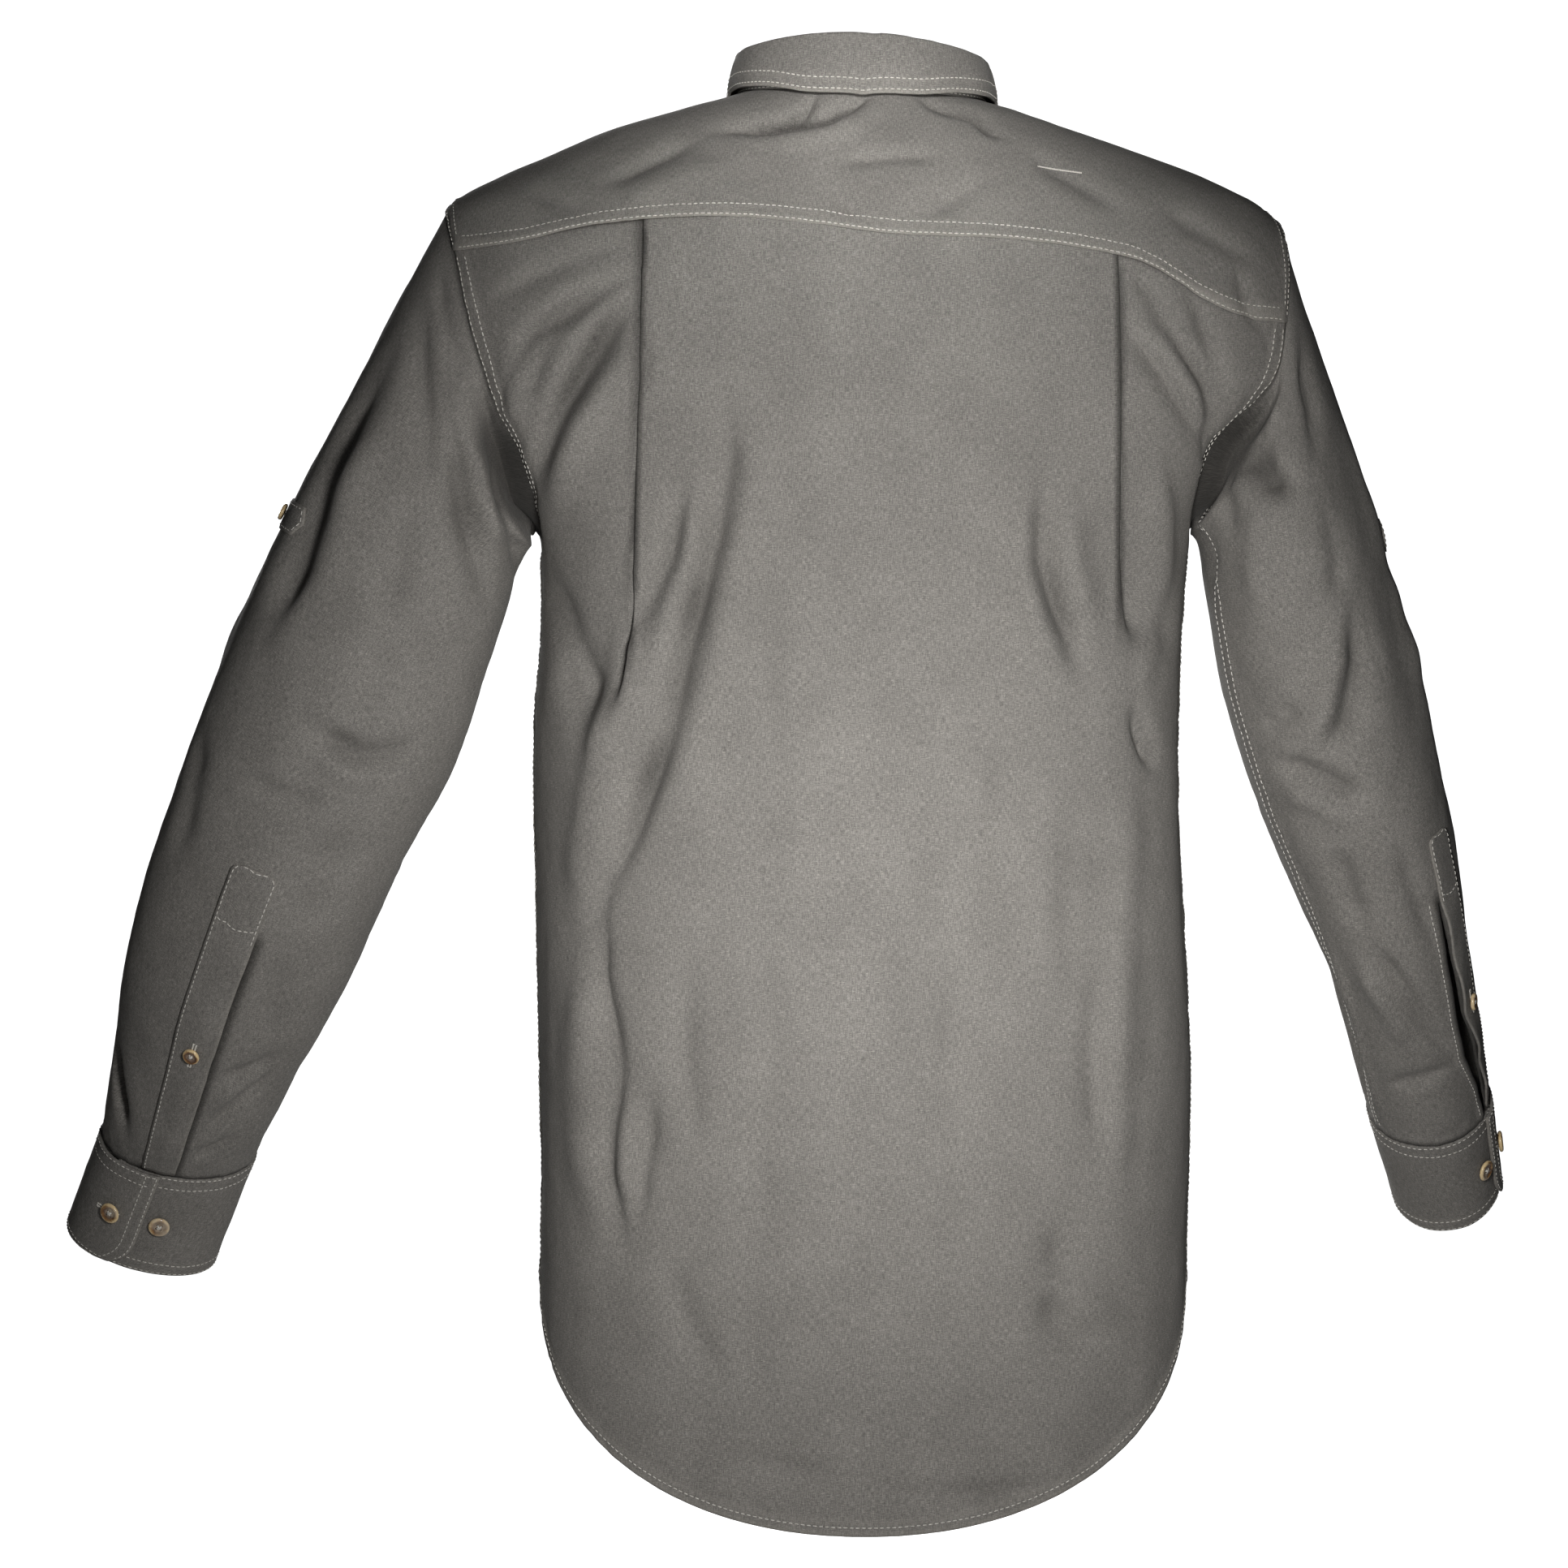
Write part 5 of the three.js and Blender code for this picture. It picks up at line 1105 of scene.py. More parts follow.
# Materials
class Nodes:
    """Short calls that make the nodes of one tree and join them."""

    def __init__(self, owner):
        owner.use_nodes = True
        self.tree = owner.node_tree
        self.tree.nodes.clear()

    def add(self, kind, settings=None, **inputs):
        """A node: an input is named, or numbered as in i0, and takes a value or another node's output."""
        made = self.tree.nodes.new("ShaderNode" + kind)
        for key, value in (settings or {}).items():
            setattr(made, key, value)
        for key, value in inputs.items():
            socket = made.inputs[int(key[1:]) if key[1:].isdigit() else key.replace("_", " ")]
            if isinstance(value, bpy.types.NodeSocket):
                self.tree.links.new(value, socket)
            else:
                socket.default_value = value
        return made

    def add_by_ray(self, output, others, camera):
        """Ends in a shader for what the camera sees, and another for all other rays."""
        ray = self.add("LightPath")
        both = self.add("MixShader", i0=ray.outputs["Is Camera Ray"], i1=others.outputs[0], i2=camera.outputs[0])
        self.add(output, Surface=both.outputs[0])

    def attribute(self, name, output):
        return self.add("Attribute", {"attribute_name": name}).outputs[output]

    def math(self, operation, a, b, clamp=False):
        return self.add("Math", {"operation": operation, "use_clamp": clamp}, i0=a, i1=b).outputs[0]

    def times(self, a, b, clamp=False):
        return self.math("MULTIPLY", a, b, clamp)

    def plus(self, a, b):
        return self.math("ADD", a, b)

    def noise(self, place, scale, detail, **inputs):
        return self.add("TexNoise", Vector=place, Scale=scale, Detail=detail, **inputs).outputs["Fac"]

    def grain(self, cloth, across, down, detail, offset=(0, 0, 0)):
        """Noise on the cloth's own lengths, with its grain size in metres along each way."""
        mapped = self.add("Mapping", Vector=cloth, Scale=[1 / across, 1 / down, 1], Location=offset)
        return self.noise(mapped.outputs[0], 1.0, detail, Roughness=0.55)

    def ramp(self, value, *stops):
        """Colours, or greys given as one number, by a value."""
        made = self.add("ValToRGB", Fac=value)
        elements = made.color_ramp.elements
        while len(elements) < len(stops):
            elements.new(0.5)
        for element, (position, colour) in zip(elements, stops):
            element.position = position
            element.color = (*(colour if isinstance(colour, tuple) else [colour] * 3), 1)
        return made.outputs["Color"]

    def mixed(self, factor, a, b, blend="MIX"):
        a, b = ((*value, 1) if isinstance(value, tuple) else value for value in (a, b))
        return self.add("Mix", {"data_type": "RGBA", "blend_type": blend}, i0=factor, i6=a, i7=b).outputs[2]

    def bump(self, height, strength, distance, **inputs):
        return self.add("Bump", Height=height, Strength=strength, Distance=distance, **inputs).outputs[0]


class Material(Nodes):
    def __init__(self, name):
        self.made = bpy.data.materials.new(name)
        super().__init__(self.made)

    def place(self):
        return self.add("TexCoord").outputs["Object"]

    def finish(self, **inputs):
        self.add("OutputMaterial", Surface=self.add("BsdfPrincipled", **inputs).outputs[0])
        return self.made


def srgb(*values):
    return tuple(((v / 255 + 0.055) / 1.055) ** 2.4 if v > 10 else v / 255 / 12.92 for v in values)


def cloth_material():
    """Fine plain weave with pale slubs, mottled dye, wear along the seams, painted shade in ditches, troughs and
    hollows, and a soft nap.
    """
    m = Material("grey_cloth")
    cloth, wear_and_shade = m.attribute("cloth", "Vector"), m.attribute("wear_and_shade", "Fac")
    weft = m.grain(cloth, 0.0028, 0.0005, 1.0)
    warp = m.grain(cloth, 0.00045, 0.0042, 1.0, (3.1, 7.7, 0))
    fine = m.grain(cloth, 0.00042, 0.0005, 1.0, (8, 3, 0))
    mottle = m.grain(cloth, 0.035, 0.045, 4.0, (11, 2, 0))
    yarns = m.plus(m.plus(m.times(weft, 0.30), m.times(warp, 0.34)), m.times(fine, 0.36))
    shade = m.ramp(yarns, (0.38, 0.62), (0.5, 0.97), (0.61, 1.34))
    slub = m.ramp(weft, (0.64, 0.0), (0.74, 1.0))
    fleck = m.ramp(m.grain(cloth, 0.0016, 0.0009, 1.0, (5, 5, 0)), (0.66, 0.0), (0.72, 1.0))
    colour = m.mixed(1.0, srgb(133.3, 130.2, 125.7), shade, "MULTIPLY")
    colour = m.mixed(m.times(slub, 0.34), colour, srgb(186, 181, 170))
    colour = m.mixed(m.times(fleck, 0.20), colour, srgb(190, 186, 176))
    colour = m.mixed(1.0, colour, m.ramp(mottle, (0.3, 0.93), (0.7, 1.07)), "MULTIPLY")
    # Wear is pale above zero; below zero the colour is darkened towards near black as painted shade in ditches,
    # troughs and hollows
    colour = m.mixed(m.times(wear_and_shade, 0.32, clamp=True), colour, srgb(176, 171, 162))
    colour = m.mixed(m.times(wear_and_shade, -0.8, clamp=True), colour, srgb(34, 32, 30))
    # Weave: yarns over and under at a pitch of about half a millimetre
    waves = [m.add("TexWave", {"wave_type": "BANDS", "bands_direction": axis, "wave_profile": "SIN"},
                   Vector=cloth, Scale=640.0, Distortion=0.6, Detail=1.0).outputs["Fac"] for axis in ("X", "Y")]
    weave = m.plus(m.times(*waves), m.times(yarns, 1.6))
    crumple = m.grain(cloth, 0.009, 0.012, 3.0, (1, 9, 0))
    return m.finish(
        Base_Color=colour, Roughness=m.ramp(yarns, (0.3, 0.95), (0.7, 0.84)), Specular_IOR_Level=0.22,
        Sheen_Weight=0.10, Sheen_Roughness=0.55, Sheen_Tint=(0.86, 0.85, 0.82, 1),
        Normal=m.bump(crumple, 0.5, 0.0007, Normal=m.bump(weave, 0.35, 0.00012)),
    )


def thread_material():
    m = Material("thread")
    twist, patch = m.noise(m.place(), 1800.0, 2.0), m.noise(m.place(), 14.0, 2.0)
    colour = m.ramp(twist, (0.3, srgb(188, 184, 174)), (0.65, srgb(246, 243, 236)))
    colour = m.mixed(m.times(patch, 0.35), colour, srgb(192, 188, 180))
    return m.finish(Base_Color=colour, Normal=m.bump(twist, 0.4, 0.0001), Roughness=0.62, Sheen_Weight=0.2)


def horn_material():
    """Polished horn: brown with cream streaks, and a cream rim."""
    m = Material("horn")
    streak, cloud = m.noise(m.place(), 170.0, 4.0, Distortion=1.6), m.noise(m.place(), 75.0, 2.0)
    spread = m.plus(m.attribute("rim", "Fac"), m.times(m.math("SUBTRACT", streak, 0.5), 0.9))
    colour = m.ramp(spread, (0.30, srgb(152, 134, 120)), (0.58, srgb(96, 72, 54)), (0.74, srgb(150, 112, 70)),
                    (0.95, srgb(232, 208, 164)))
    colour = m.mixed(m.ramp(cloud, (0.50, 0.0), (0.62, 0.65)), colour, srgb(214, 200, 178))
    return m.finish(Base_Color=colour, Roughness=m.ramp(cloud, (0.3, 0.24), (0.7, 0.38)),
                    Normal=m.bump(streak, 0.12, 0.0002), Coat_Weight=0.5, Coat_Roughness=0.12)


def floor_material():
    """A pale floor that the camera sees nearly white."""
    m = Material("floor")
    colour = m.ramp(m.noise(m.place(), 3.0, 3.0), (0.3, 0.90), (0.7, 0.93))
    plain = m.add("BsdfPrincipled", Base_Color=colour, Roughness=0.9)
    glow = m.add("Emission", Color=(1, 1, 1, 1), Strength=0.93)
    m.add_by_ray("OutputMaterial", plain, m.add("AddShader", i0=plain.outputs[0], i1=glow.outputs[0]))
    return m.made


# Light, floor and camera, in metres
FLOOR_LEVEL = -0.98
FLOOR_REACH = 9
CAMERA_PLACE = (0.045, 3.610, -0.392)
# Each lamp: place, what it points at, size, power in watts and spread in degrees
LAMPS = {
    "key": ((-0.05, 1.14, -0.40), (-0.01, 0, -0.44), 0.24, 1.9, 70),
    "collar": ((-0.1, 1.7, 0.25), (0, 0, 0.03), 0.2, 0.26, 18),
    "front": ((0.6, -2.2, 0.3), (0, 0, -0.4), 0.9, 12, 120),
}


def area_light(name, place, target, size, power, spread):
    light = bpy.data.lights.new(name, "AREA")
    light.energy, light.size, light.spread = power, size, math.radians(spread)
    lamp = add_object(name, light)
    lamp.location = place
    lamp.rotation_euler = (Vector(target) - Vector(place)).to_track_quat("-Z", "Y").to_euler()
    lamp.visible_camera = False


def set_stage():
    scene = bpy.context.scene
    lens = bpy.data.cameras.new("camera")
    lens.lens, lens.sensor_width = 144.3, 36
    scene.camera = add_object("camera", lens)
    scene.camera.location = CAMERA_PLACE
    scene.camera.rotation_euler = (math.pi / 2, 0, math.pi)
    scene.view_settings.view_transform = "Standard"
    scene.view_settings.look = "Medium High Contrast"
    scene.world = bpy.data.worlds.new("studio")
    sky = Nodes(scene.world)
    seen = sky.add("Background", Color=(1, 1, 1, 1), Strength=1.0)
    lit = sky.add("Background", Color=(0.97, 0.98, 1, 1), Strength=0.035)
    sky.add_by_ray("OutputWorld", lit, seen)
    mesh = bpy.data.meshes.new("floor")
    corners = [(x * FLOOR_REACH, y * FLOOR_REACH, FLOOR_LEVEL) for x, y in ((-1, -1), (1, -1), (1, 1), (-1, 1))]
    mesh.from_pydata(corners, [], [(0, 1, 2, 3)])
    mesh.materials.append(floor_material())
    add_object("floor", mesh)
    for name, settings in LAMPS.items():
        area_light(name, *settings)


GREY = cloth_material()
THREAD = thread_material()
HORN = horn_material()
set_stage()


# The pieces
def felled(distance, height=0.55, wide=FELL):
    """A seam allowance folded under and stitched down: a low band along an edge."""
    return height * (1 - ease((distance - wide) / 2.2))


def pucker(panel, distance, seed, deep=0.5, reach=11.0):
    """Small gathers that a seam draws into the cloth beside it."""
    return deep * near(distance, reach) * rumple(panel.points, 6.5, seed)

def natural(panel, seed, soft=1.0):
    """The cloth's own unevenness: broad hang, medium waves and fine rumples."""
    stretched = panel.points * np.array([1.0, 1.0, 0.36])
    broad = 1.3 * rumple(stretched, 62.0, seed)
    medium = 0.62 * rumple(stretched * np.array([1, 1, 1.5]), 24.0, seed + 1)
    fine = 0.16 * rumple(panel.points, 8.0, seed + 2)
    return soft * (broad + medium + fine)


def seam_wear(*distances):
    return np.maximum.reduce([near(distance, 2.2) + 0.35 * near(distance - FELL, 2.0) for distance in distances])


def upright(panel):
    """Cloth hanging with its threads plumb."""
    panel.threads = panel.across_from(panel.points.shape[1] // 2), -panel.points[..., 2]


def columns_of(points):
    return tuple(points[..., k] for k in range(3))


def under_pleats(points):
    """The shade that the edge of each pleat throws beside it, from a level below the yoke to the pleat's end."""
    x, _, z = columns_of(points)
    start = -135
    shade = 0
    for p in PLEATS.values():
        share = np.clip((z - start) / (p["low_z"] - start), 0, 1)
        beyond = (x - mix(p["x"], p["low_x"], share)) * np.sign(p["x"])
        beside = (1 - ease((beyond - 0.5) / 5)) * ease((beyond + 0.6) / 0.6)
        shade = np.maximum(shade, 0.8 * beside * (1 - ease((share - 0.8) / 0.2)))
    return shade


def dress_back():
    back = make_back()
    side_gap, hem = back.nearest("start", "end"), back.edge("bottom")
    calm = ease(np.minimum(side_gap, hem) / 18) * 0.85 + 0.15
    back.lift(natural(back, 3) * calm + felled(side_gap) + felled(hem, 0.4, HEM_BAND)
              + pucker(back, side_gap - 4, 5, 0.8) + pucker(back, hem - 3, 6, 0.6)
              + pucker(back, back.edge("top"), 7, 0.8))
    upright(back)
    # Painted shade: the cloth is darkened in deep fold troughs, beside each pleat's edge and under the yoke's edge
    shade_in_troughs = np.maximum(painted_trough_shade(body_height(*columns_of(back.points))), under_pleats(back.points))
    shell("cloth_back", back, CLOTH, "back",
          wear_and_shade=seam_wear(side_gap, hem) - np.maximum(near(back.edge("top") - 1.5, 3.0), shade_in_troughs))
    return back


def dress_yoke():
    yoke = make_yoke()
    seam = yoke.edge("bottom")
    yoke.lift(0.95 + natural(yoke, 11, 0.7) * ease(yoke.nearest("bottom", "top") / 20)
              + felled(seam, 0.5) + pucker(yoke, seam - 4, 12, 0.9, 8))
    yoke.threads = yoke.points[..., 0], yoke.points[..., 1] - yoke.points[..., 2]
    # Painted shade darkens the yoke's colour in its deep fold troughs
    shell("cloth_yoke", yoke, CLOTH, "yoke",
          wear_and_shade=seam_wear(seam) - painted_trough_shade(1.3 * body_height(*columns_of(yoke.points))))
    return yoke


def dress_front(side, seed):
    front = make_front(side)
    hem, free = front.edge("bottom"), front.edge("end")
    calm = ease(np.minimum(front.nearest("start", "bottom"), free - 20) / 30)
    front.lift(natural(front, 21 + seed * 5) * calm + felled(hem, 0.4, HEM_BAND)
               + pucker(front, hem - 3, 24 + seed, 0.4))
    upright(front)
    shell("cloth_front_" + side, front, CLOTH, "front_" + side, wear_and_shade=seam_wear(hem))
    return front


def dress_collar():
    stand, leaf = make_collar()
    stand.lift(0.2 * rumple(stand.points, 16, 71))
    shell("cloth_collar_stand", stand, DOUBLED, "collar_stand")
    edge = leaf.nearest("bottom", "start", "end")
    rough = 0.5 * rumple(leaf.points, 26, 72) + 0.22 * rumple(leaf.points, 9, 73)
    leaf.lift(rough * ease(leaf.edge("top") / 14) - 0.3 * near(edge, 1.2))
    shell("cloth_collar_leaf", leaf, BAND, "collar_leaf", wear_and_shade=seam_wear(edge))
    return stand, leaf


def dress_sleeve(side, seed):
    sleeve, slit = Sleeve(side), TRIM[side]["slit"]
    top = np.broadcast_to((sleeve.shares * SLEEVE_LENGTH)[:, None], sleeve.points.shape[:2])
    bottom, share = SLEEVE_LENGTH - top, top / SLEEVE_LENGTH
    fade = ease(top / 25) * ease(bottom / 16)
    from_seam = np.radians(sleeve.turns - SEAM_TURN[side]) * SLEEVE_RADIUS
    from_slit = np.radians(sleeve.turns - slit) * FOREARM_RADIUS
    band = 0.7 * (ease((from_seam + 1) / 1.4) - ease((from_seam - FELL) / 1.8)) * fade
    bound = 0.7 * (ease((from_slit + 0.2) / 0.4) - ease((from_slit - 7) / 1.6)) * ease((share - SLIT_FROM) / 0.02)
    folds = sleeve_height(side, sleeve.turns, sleeve.shares)
    sleeve.lift(folds + natural(sleeve, 41 + 7 * seed) * fade + band + bound
                + pucker(sleeve, bottom, 43 + seed, 0.9, 16)
                + pucker(sleeve, np.abs(from_seam), 45 + seed, 0.5) * fade)
    # Painted shade: the shadow beside the sleeve placket's free edge, at the cuff's seam and the armhole, in the
    # hollow behind the armhole and in deep fold troughs
    from_free = np.radians(sleeve.turns - TRIM[side]["placket"]) * FOREARM_RADIUS - PLACKET_HALF
    painted_shade = np.maximum.reduce([
        near(from_free - 1.2, 2.4) * ease((share - PLACKET_FROM - 0.06) / 0.02),
        near(bottom, 2.6), 0.75 * near(top, 1.8), pit_shade(side, sleeve.turns, top), painted_trough_shade(folds),
    ])
    missing = np.zeros((len(sleeve.shares) + 1, len(sleeve.turns)), bool)
    missing[np.nonzero(sleeve.shares > SLIT_FROM)[0][0] + 1:, sleeve.slit_cell] = True
    shell("cloth_sleeve_" + side, sleeve.tucked(), CLOTH, "sleeve_" + side, missing=missing,
          wear_and_shade=-np.concatenate([painted_shade[:1], painted_shade, painted_shade[-1:]]))
    for distance in (1.7, 7.4):
        turn = SEAM_TURN[side] + math.degrees(distance / SLEEVE_RADIUS)
        thread.row(*sleeve.place(turn, np.linspace(0.02, 0.99, 300), CLOTH / 2))
    thread.row(*sleeve.place(slit + 7, np.linspace(SLIT_FROM, 0.99, 100), CLOTH / 2))
    return sleeve


def dress_cuff(side, seed):
    cuff, locate = make_cuff(side)
    top = cuff.edge("top")
    cuff.lift(0.35 * rumple(cuff.points, 17, 81 + seed) + 0.5 * near(top - 4, 5) * rumple(cuff.points, 6, 83 + seed)
              - 0.35 * near(cuff.nearest("bottom", "end"), 1.2))
    shell("cloth_cuff_" + side, cuff, DOUBLED, "cuff_" + side,
          wear_and_shade=seam_wear(cuff.edge("bottom"), cuff.edge("end")))
    topstitch(cuff, ("top", 1.3, 0.01, 0.99), ("top", 8.2, 0.01, 0.97))
    for distance in (1.5, 7.8):
        down, along = cuff.line("end", distance, 0.02, 0.86), cuff.line("bottom", distance, 0.01, 0.955)
        thread.row(*(np.concatenate([a, b[::-1]]) for a, b in zip(down, along)))
    for k, turn in enumerate(TRIM[side]["cuff_buttons"]):
        fasten("button_cuff_%s_%d" % (side, k + 1), cuff, *locate(turn, 0.5), CUFF_BUTTON, "across",
               hole=turn < TRIM[side]["lap_end"])


def rounded(distance, corner, half):
    """How much of its half width a strip keeps, at a distance from its rounded end."""
    short = np.clip((corner - distance) / corner, 0, 1)
    return 1 - corner / half * (1 - np.sqrt(1 - short**2))


def sewn_on(panel, node_name, seed, free=0.0):
    """A folded strip stitched flat: pressed thin along its edges, with small rumples between the stitches."""
    edge = panel.nearest("start", "end", "top", "bottom")
    panel.lift(0.25 * rumple(panel.points, 9.0, seed) * ease(edge / 6) - 0.3 * near(edge, 1.2))
    panel.lift(free)
    shell("cloth_" + node_name, panel, BAND, node_name, wear_and_shade=0.8 * near(edge, 1.4))


def dress_front_placket(front):
    points, normals = (field[2:, -STRIP_COLUMNS:] for field in (front.points, front.normals))
    strip = Panel(points + normals * (CLOTH / 2 + BAND / 2 + 0.15))
    upright(strip)
    sewn_on(strip, "front_placket", 61)
    return strip


def dress_sleeve_placket(side, sleeve, seed):
    steps = np.concatenate([np.linspace(0, 0.012, 8)[:-1], np.linspace(0.012, PLACKET_TO - PLACKET_FROM, 62)])
    down = steps * SLEEVE_LENGTH
    keep = rounded(down, 5, PLACKET_HALF)[:, None]
    width = math.degrees(PLACKET_HALF / FOREARM_RADIUS) * keep
    turns = TRIM[side]["placket"] + width * np.linspace(-1, 1, STRIP_COLUMNS)
    points, _ = sleeve.place(turns, (PLACKET_FROM + steps)[:, None], CLOTH / 2 + BAND / 2 + 0.2)
    strip = Panel(points, centre=sleeve.centre_at(0.83))
    below = ease((down - 40) / 20) * ease((down[-1] - down) / 30)
    free = 1.8 * (below * (1 + 0.5 * np.sin(down / 8)))[:, None] * np.linspace(0, 1, STRIP_COLUMNS) ** 2
    sewn_on(strip, "sleeve_placket_" + side, seed, free)
    topstitch(strip, ("start", 1.7, 0.02, 1), ("end", 1.7, 0.02, 0.26), ("top", 1.7, 0.08, 0.92),
              ("top", 38, 0.08, 0.92))
    r = float(np.interp((PLACKET_BUTTON - PLACKET_FROM), steps, np.arange(len(steps))))
    fasten("button_placket_" + side, strip, r, STRIP_COLUMNS // 2, SMALL_BUTTON, "down")


def dress_tab(side, sleeve, seed):
    first, last = TRIM[side]["tab"]
    along, across = np.linspace(0, 1, TAB_COLUMNS), np.linspace(-1, 1, TAB_ROWS)[:, None]
    point = 4 * np.abs(across) * ease((along - 0.6) / 0.4)
    shares = TAB_ALONG + across * TAB_HALF_HEIGHT / SLEEVE_LENGTH
    points, _ = sleeve.place(mix(first, last - point, along), shares, CLOTH / 2 + BAND / 2 + 0.15)
    strip = Panel(points, centre=sleeve.centre_at(TAB_ALONG))
    sewn_on(strip, "sleeve_tab_" + side, seed)
    topstitch(strip, ("end", 2.4, 0.12, 0.88), ("top", 2.2, 0.05, 0.95), ("bottom", 2.2, 0.05, 0.95),
              ("start", 2.4, 0.12, 0.88))
    c = (TRIM[side]["tab_button"] - first) / (last - first) * (TAB_COLUMNS - 1)
    fasten("button_tab_" + side, strip, TAB_ROWS // 2, c, SMALL_BUTTON, "across")


# Topstitching, buttonholes and buttons
def topstitch(panel, *rows):
    for row in rows:
        thread.row(*panel.line(*row))


def steps_at(panel, r, c):
    """The steps from one row and one column to the next at a place on a panel."""
    return panel.at(r + 0.5, c)[0] - panel.at(r - 0.5, c)[0], panel.at(r, c + 0.5)[0] - panel.at(r, c - 0.5)[0]


def buttonhole(panel, r, c, along, length):
    """Two close rows of bars beside a slit."""
    down, wide = (np.linalg.norm(step) for step in steps_at(panel, r, c))
    step = np.arange(-length / 2, length / 2, 0.42)
    a = np.concatenate([step, [-length / 2, length / 2]])
    for rail in (-1, 1):
        pairs = []
        for side in (np.where(np.arange(len(a)) < len(step), 0.3 * rail, 0.0),
                     np.where(np.arange(len(a)) < len(step), 1.35 * rail, 1.3 * rail)):
            dr, dc = (a, side) if along == "down" else (side, a)
            pairs.append(panel.at(r + dr / down, c + dc / wide, panel.thick / 2))
        thread.bars(pairs[0][0], pairs[1][0], pairs[0][1], 0.3, 0.2)


def circle(count, radius=1.0, x=0.0, y=0.0):
    turns = np.arange(count) * 2 * math.pi / count
    return [(x + radius * math.cos(a), y + radius * math.sin(a)) for a in turns]


def button_blank():
    """A button of radius 1 with a round rim, a dished face and four holes, as thick as all the others."""
    profile = [(0.0, -1.3), (0.70, -1.3), (0.84, -1.18), (0.94, -0.8), (1.0, -0.15), (0.99, 0.4), (0.94, 0.9),
               (0.86, 1.2), (0.78, 1.3), (0.70, 1.22), (0.63, 0.98), (0.55, 0.74), (0.44, 0.62), (0.2, 0.58),
               (0.0, 0.57)]
    count, sides = 40, 14

    def round_faces(low, high, count):
        """The quads between two rings of points that start at two numbers."""
        return [(low + i, low + (i + 1) % count, high + (i + 1) % count, high + i) for i in range(count)]

    def solid(name, places, polygons):
        mesh = bpy.data.meshes.new(name)
        mesh.from_pydata(places, [], polygons)
        return add_object(name, mesh)

    vertices = [(0, 0, profile[0][1])]
    vertices += [(x, y, h) for r, h in profile[1:-1] for x, y in circle(count, r)]
    vertices.append((0, 0, profile[-1][1]))
    rings, last = len(profile) - 2, len(vertices) - 1
    top = 1 + (rings - 1) * count
    faces = [(0, 1 + (i + 1) % count, 1 + i) for i in range(count)]
    for k in range(rings - 1):
        faces += round_faces(1 + k * count, 1 + (k + 1) * count, count)
    faces += [(top + i, top + (i + 1) % count, last) for i in range(count)]
    disc = solid("blank", vertices, faces)
    places, polygons = [], []
    for x, y in ((1, 1), (-1, 1), (-1, -1), (1, -1)):
        first = len(places)
        hole = circle(sides, HOLE_RADIUS, HOLE_AT * x, HOLE_AT * y)
        places += [(*spot, h) for h in (-3, 3) for spot in hole]
        polygons += [list(range(first, first + sides))[::-1], list(range(first + sides, first + 2 * sides))]
        polygons += round_faces(first, first + sides, sides)
    cutter = solid("holes", places, polygons)
    cut = disc.modifiers.new("holes", "BOOLEAN")
    cut.operation, cut.object, cut.solver = "DIFFERENCE", cutter, "EXACT"
    mesh = bpy.data.meshes.new_from_object(disc.evaluated_get(bpy.context.evaluated_depsgraph_get()))
    for used in (disc, cutter):
        bpy.data.objects.remove(used)
    rim = mesh.attributes.new("rim", "FLOAT", "POINT")
    rim.data.foreach_set("value", [math.hypot(v.co.x, v.co.y) for v in mesh.vertices])
    return mesh


def sew_button(name, place, normal, ahead, size):
    """A button at a place, its thread crossed in the four holes, with a shank to the cloth."""
    side = unit(np.cross(normal, ahead))
    ahead = np.cross(side, normal)
    half = size / 2
    mesh = blank.copy()
    turned = zip((np.stack([ahead, side, normal], 1) * MM).tolist(), place * MM)
    mesh.transform(Matrix([[*row, p] for row, p in turned] + [[0, 0, 0, 1]]) @ Matrix.Diagonal((half, half, 1, 1)))
    mesh.polygons.foreach_set("use_smooth", np.ones(len(mesh.polygons), bool))
    mesh.set_sharp_from_angle(angle=math.radians(50))
    mesh.materials.clear()
    mesh.materials.append(HORN)
    piece = add_object("horn_" + name, mesh)
    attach(piece, "root")
    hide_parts(name)
    reach = HOLE_AT * half
    for over, corners in ((0.0, ((1, 1), (-1, -1))), (0.25, ((-1, 1), (1, -1)))):
        ends = [place + (ahead * s[0] + side * s[1]) * reach * 1.15 + normal * 0.3 for s in corners]
        across = unit(np.cross(ends[1] - ends[0], normal))
        for k in (-1, 0, 1):
            shift = across * 0.36 * k + normal * over
            thread.bar(ends[0] + shift, ends[1] + shift, normal, 0.25, 0.62)
    thread.bar(place - normal * 2.2, place - normal * 1.2, ahead, 1.0, 0)


def fasten(name, panel, r, c, size, along, hole=True):
    """A button on a panel at a row and column, over its buttonhole."""
    place, normal = panel.at(r, c, panel.thick / 2 + 0.35 + BUTTON_THICK / 2)
    sew_button(name, place, normal, unit(steps_at(panel, r, c)[0]), size)
    if hole:
        buttonhole(panel, r, c, along, size + BUTTONHOLE_SPARE)


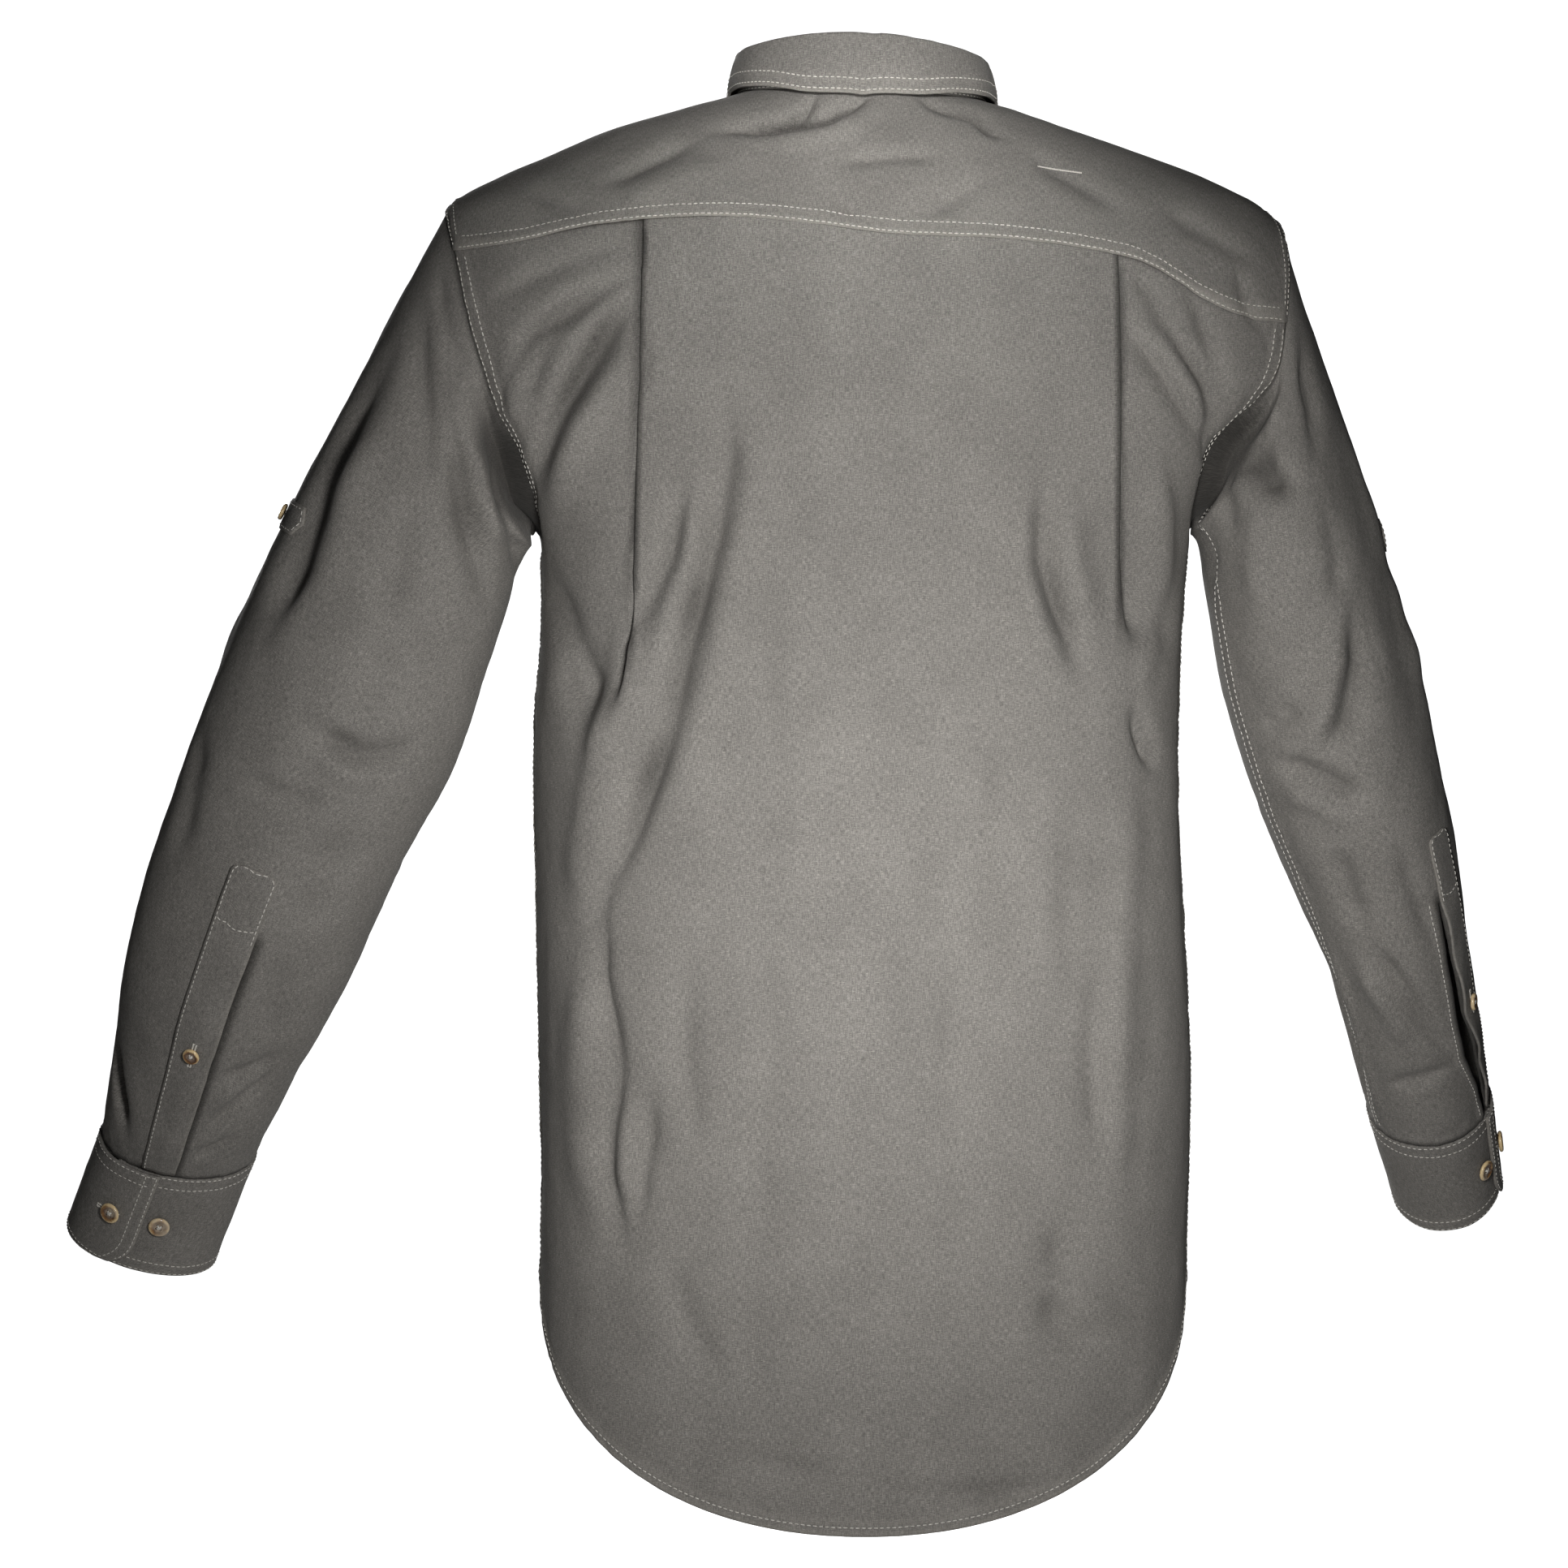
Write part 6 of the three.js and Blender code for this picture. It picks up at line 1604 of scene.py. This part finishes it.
def bar_tack(panel, start, end):
    """Close bars on the back of a panel, across a line given by the x and z of its ends."""
    p = panel.points
    steps = int(np.hypot(end[0] - start[0], end[1] - start[1]) / 0.45)
    for x, z in np.linspace(start, end, steps):
        away = (p[..., 0] - x) ** 2 + (p[..., 2] - z) ** 2 + np.where(p[..., 1] > 0, 0, 1e6)
        r, c = np.unravel_index(np.argmin(away[1:-1, 1:-1]), (p.shape[0] - 2, p.shape[1] - 2))
        r, c = r + 1, c + 1
        along = (p[r, c + 1] - p[r, c - 1])[[0, 2]] / 2
        down = (p[r + 1, c] - p[r - 1, c])[[0, 2]] / 2
        dc, dr = np.linalg.solve(np.stack([along, down], 1), np.array([x, z]) - p[r, c, [0, 2]])
        spot, normal = panel.at(r + dr, c + dc, CLOTH / 2)
        up = unit(np.array([0, 0, 1.0]) - normal * normal[2])
        thread.bar(spot + up * 0.6, spot - up * 0.6, normal, 0.2, 0.12)


thread = Thread()
blank = button_blank()
back, yoke = dress_back(), dress_yoke()
fronts = [dress_front(side, seed) for seed, side in enumerate(SIDES)]
stand, leaf = dress_collar()
for seed, side in enumerate(SIDES):
    sleeve = dress_sleeve(side, seed)
    dress_cuff(side, seed)
    dress_sleeve_placket(side, sleeve, 91 + seed)
    dress_tab(side, sleeve, 95 + seed)

placket = dress_front_placket(fronts[0])
levels = -placket.points[:, STRIP_COLUMNS // 2, 2]
for i in range(6):
    r = float(np.interp(PLACKET_PITCH * i - PLACKET_TOP_BUTTON, levels, np.arange(len(levels))))
    fasten("button_front_%d" % (i + 1), placket, r, STRIP_COLUMNS // 2, SHIRT_BUTTON, "down")
collar_button = (180 + 180 + STAND_LAP_TURN) / (360 + 2 * STAND_LAP_TURN) * (STAND_COLUMNS - 1)
fasten("button_collar", stand, STAND_ROWS // 2, collar_button, SMALL_BUTTON, "across")

rows = len(back.points)
for distance in (1.6, 8.2):
    topstitch(back, ("start", distance, 4 / rows, 0.985), ("end", distance, 4 / rows, 0.985))
    topstitch(yoke, ("bottom", distance, 0.004, 0.126), ("bottom", distance, 0.132, 0.868),
              ("bottom", distance, 0.874, 0.996), ("start", distance, 0.1, 0.98), ("end", distance, 0.1, 0.98))
    for front in fronts:
        topstitch(front, ("start", distance + 0.3, 5 / rows, 58 / rows))
topstitch(back, ("bottom", 5, 0.02, 0.98))
for front in fronts:
    topstitch(front, ("bottom", 5, 0.03, 0.99))
topstitch(placket, ("start", 5, 0, 1), ("end", 5, 0, 1))
topstitch(leaf, *(("bottom", distance, 0.01, 0.99) for distance in (2.4, 8.8)),
          *((edge, distance, 0.4, 1) for edge in ("start", "end") for distance in (2.4, 8.8)))
topstitch(stand, ("bottom", 2.2, 0.01, 0.99), ("top", 2.2, 0.01, 0.99))
bar_tack(yoke, (-97.7, -44.8), (-122.4, -48.0))
thread.make("stitches", THREAD)
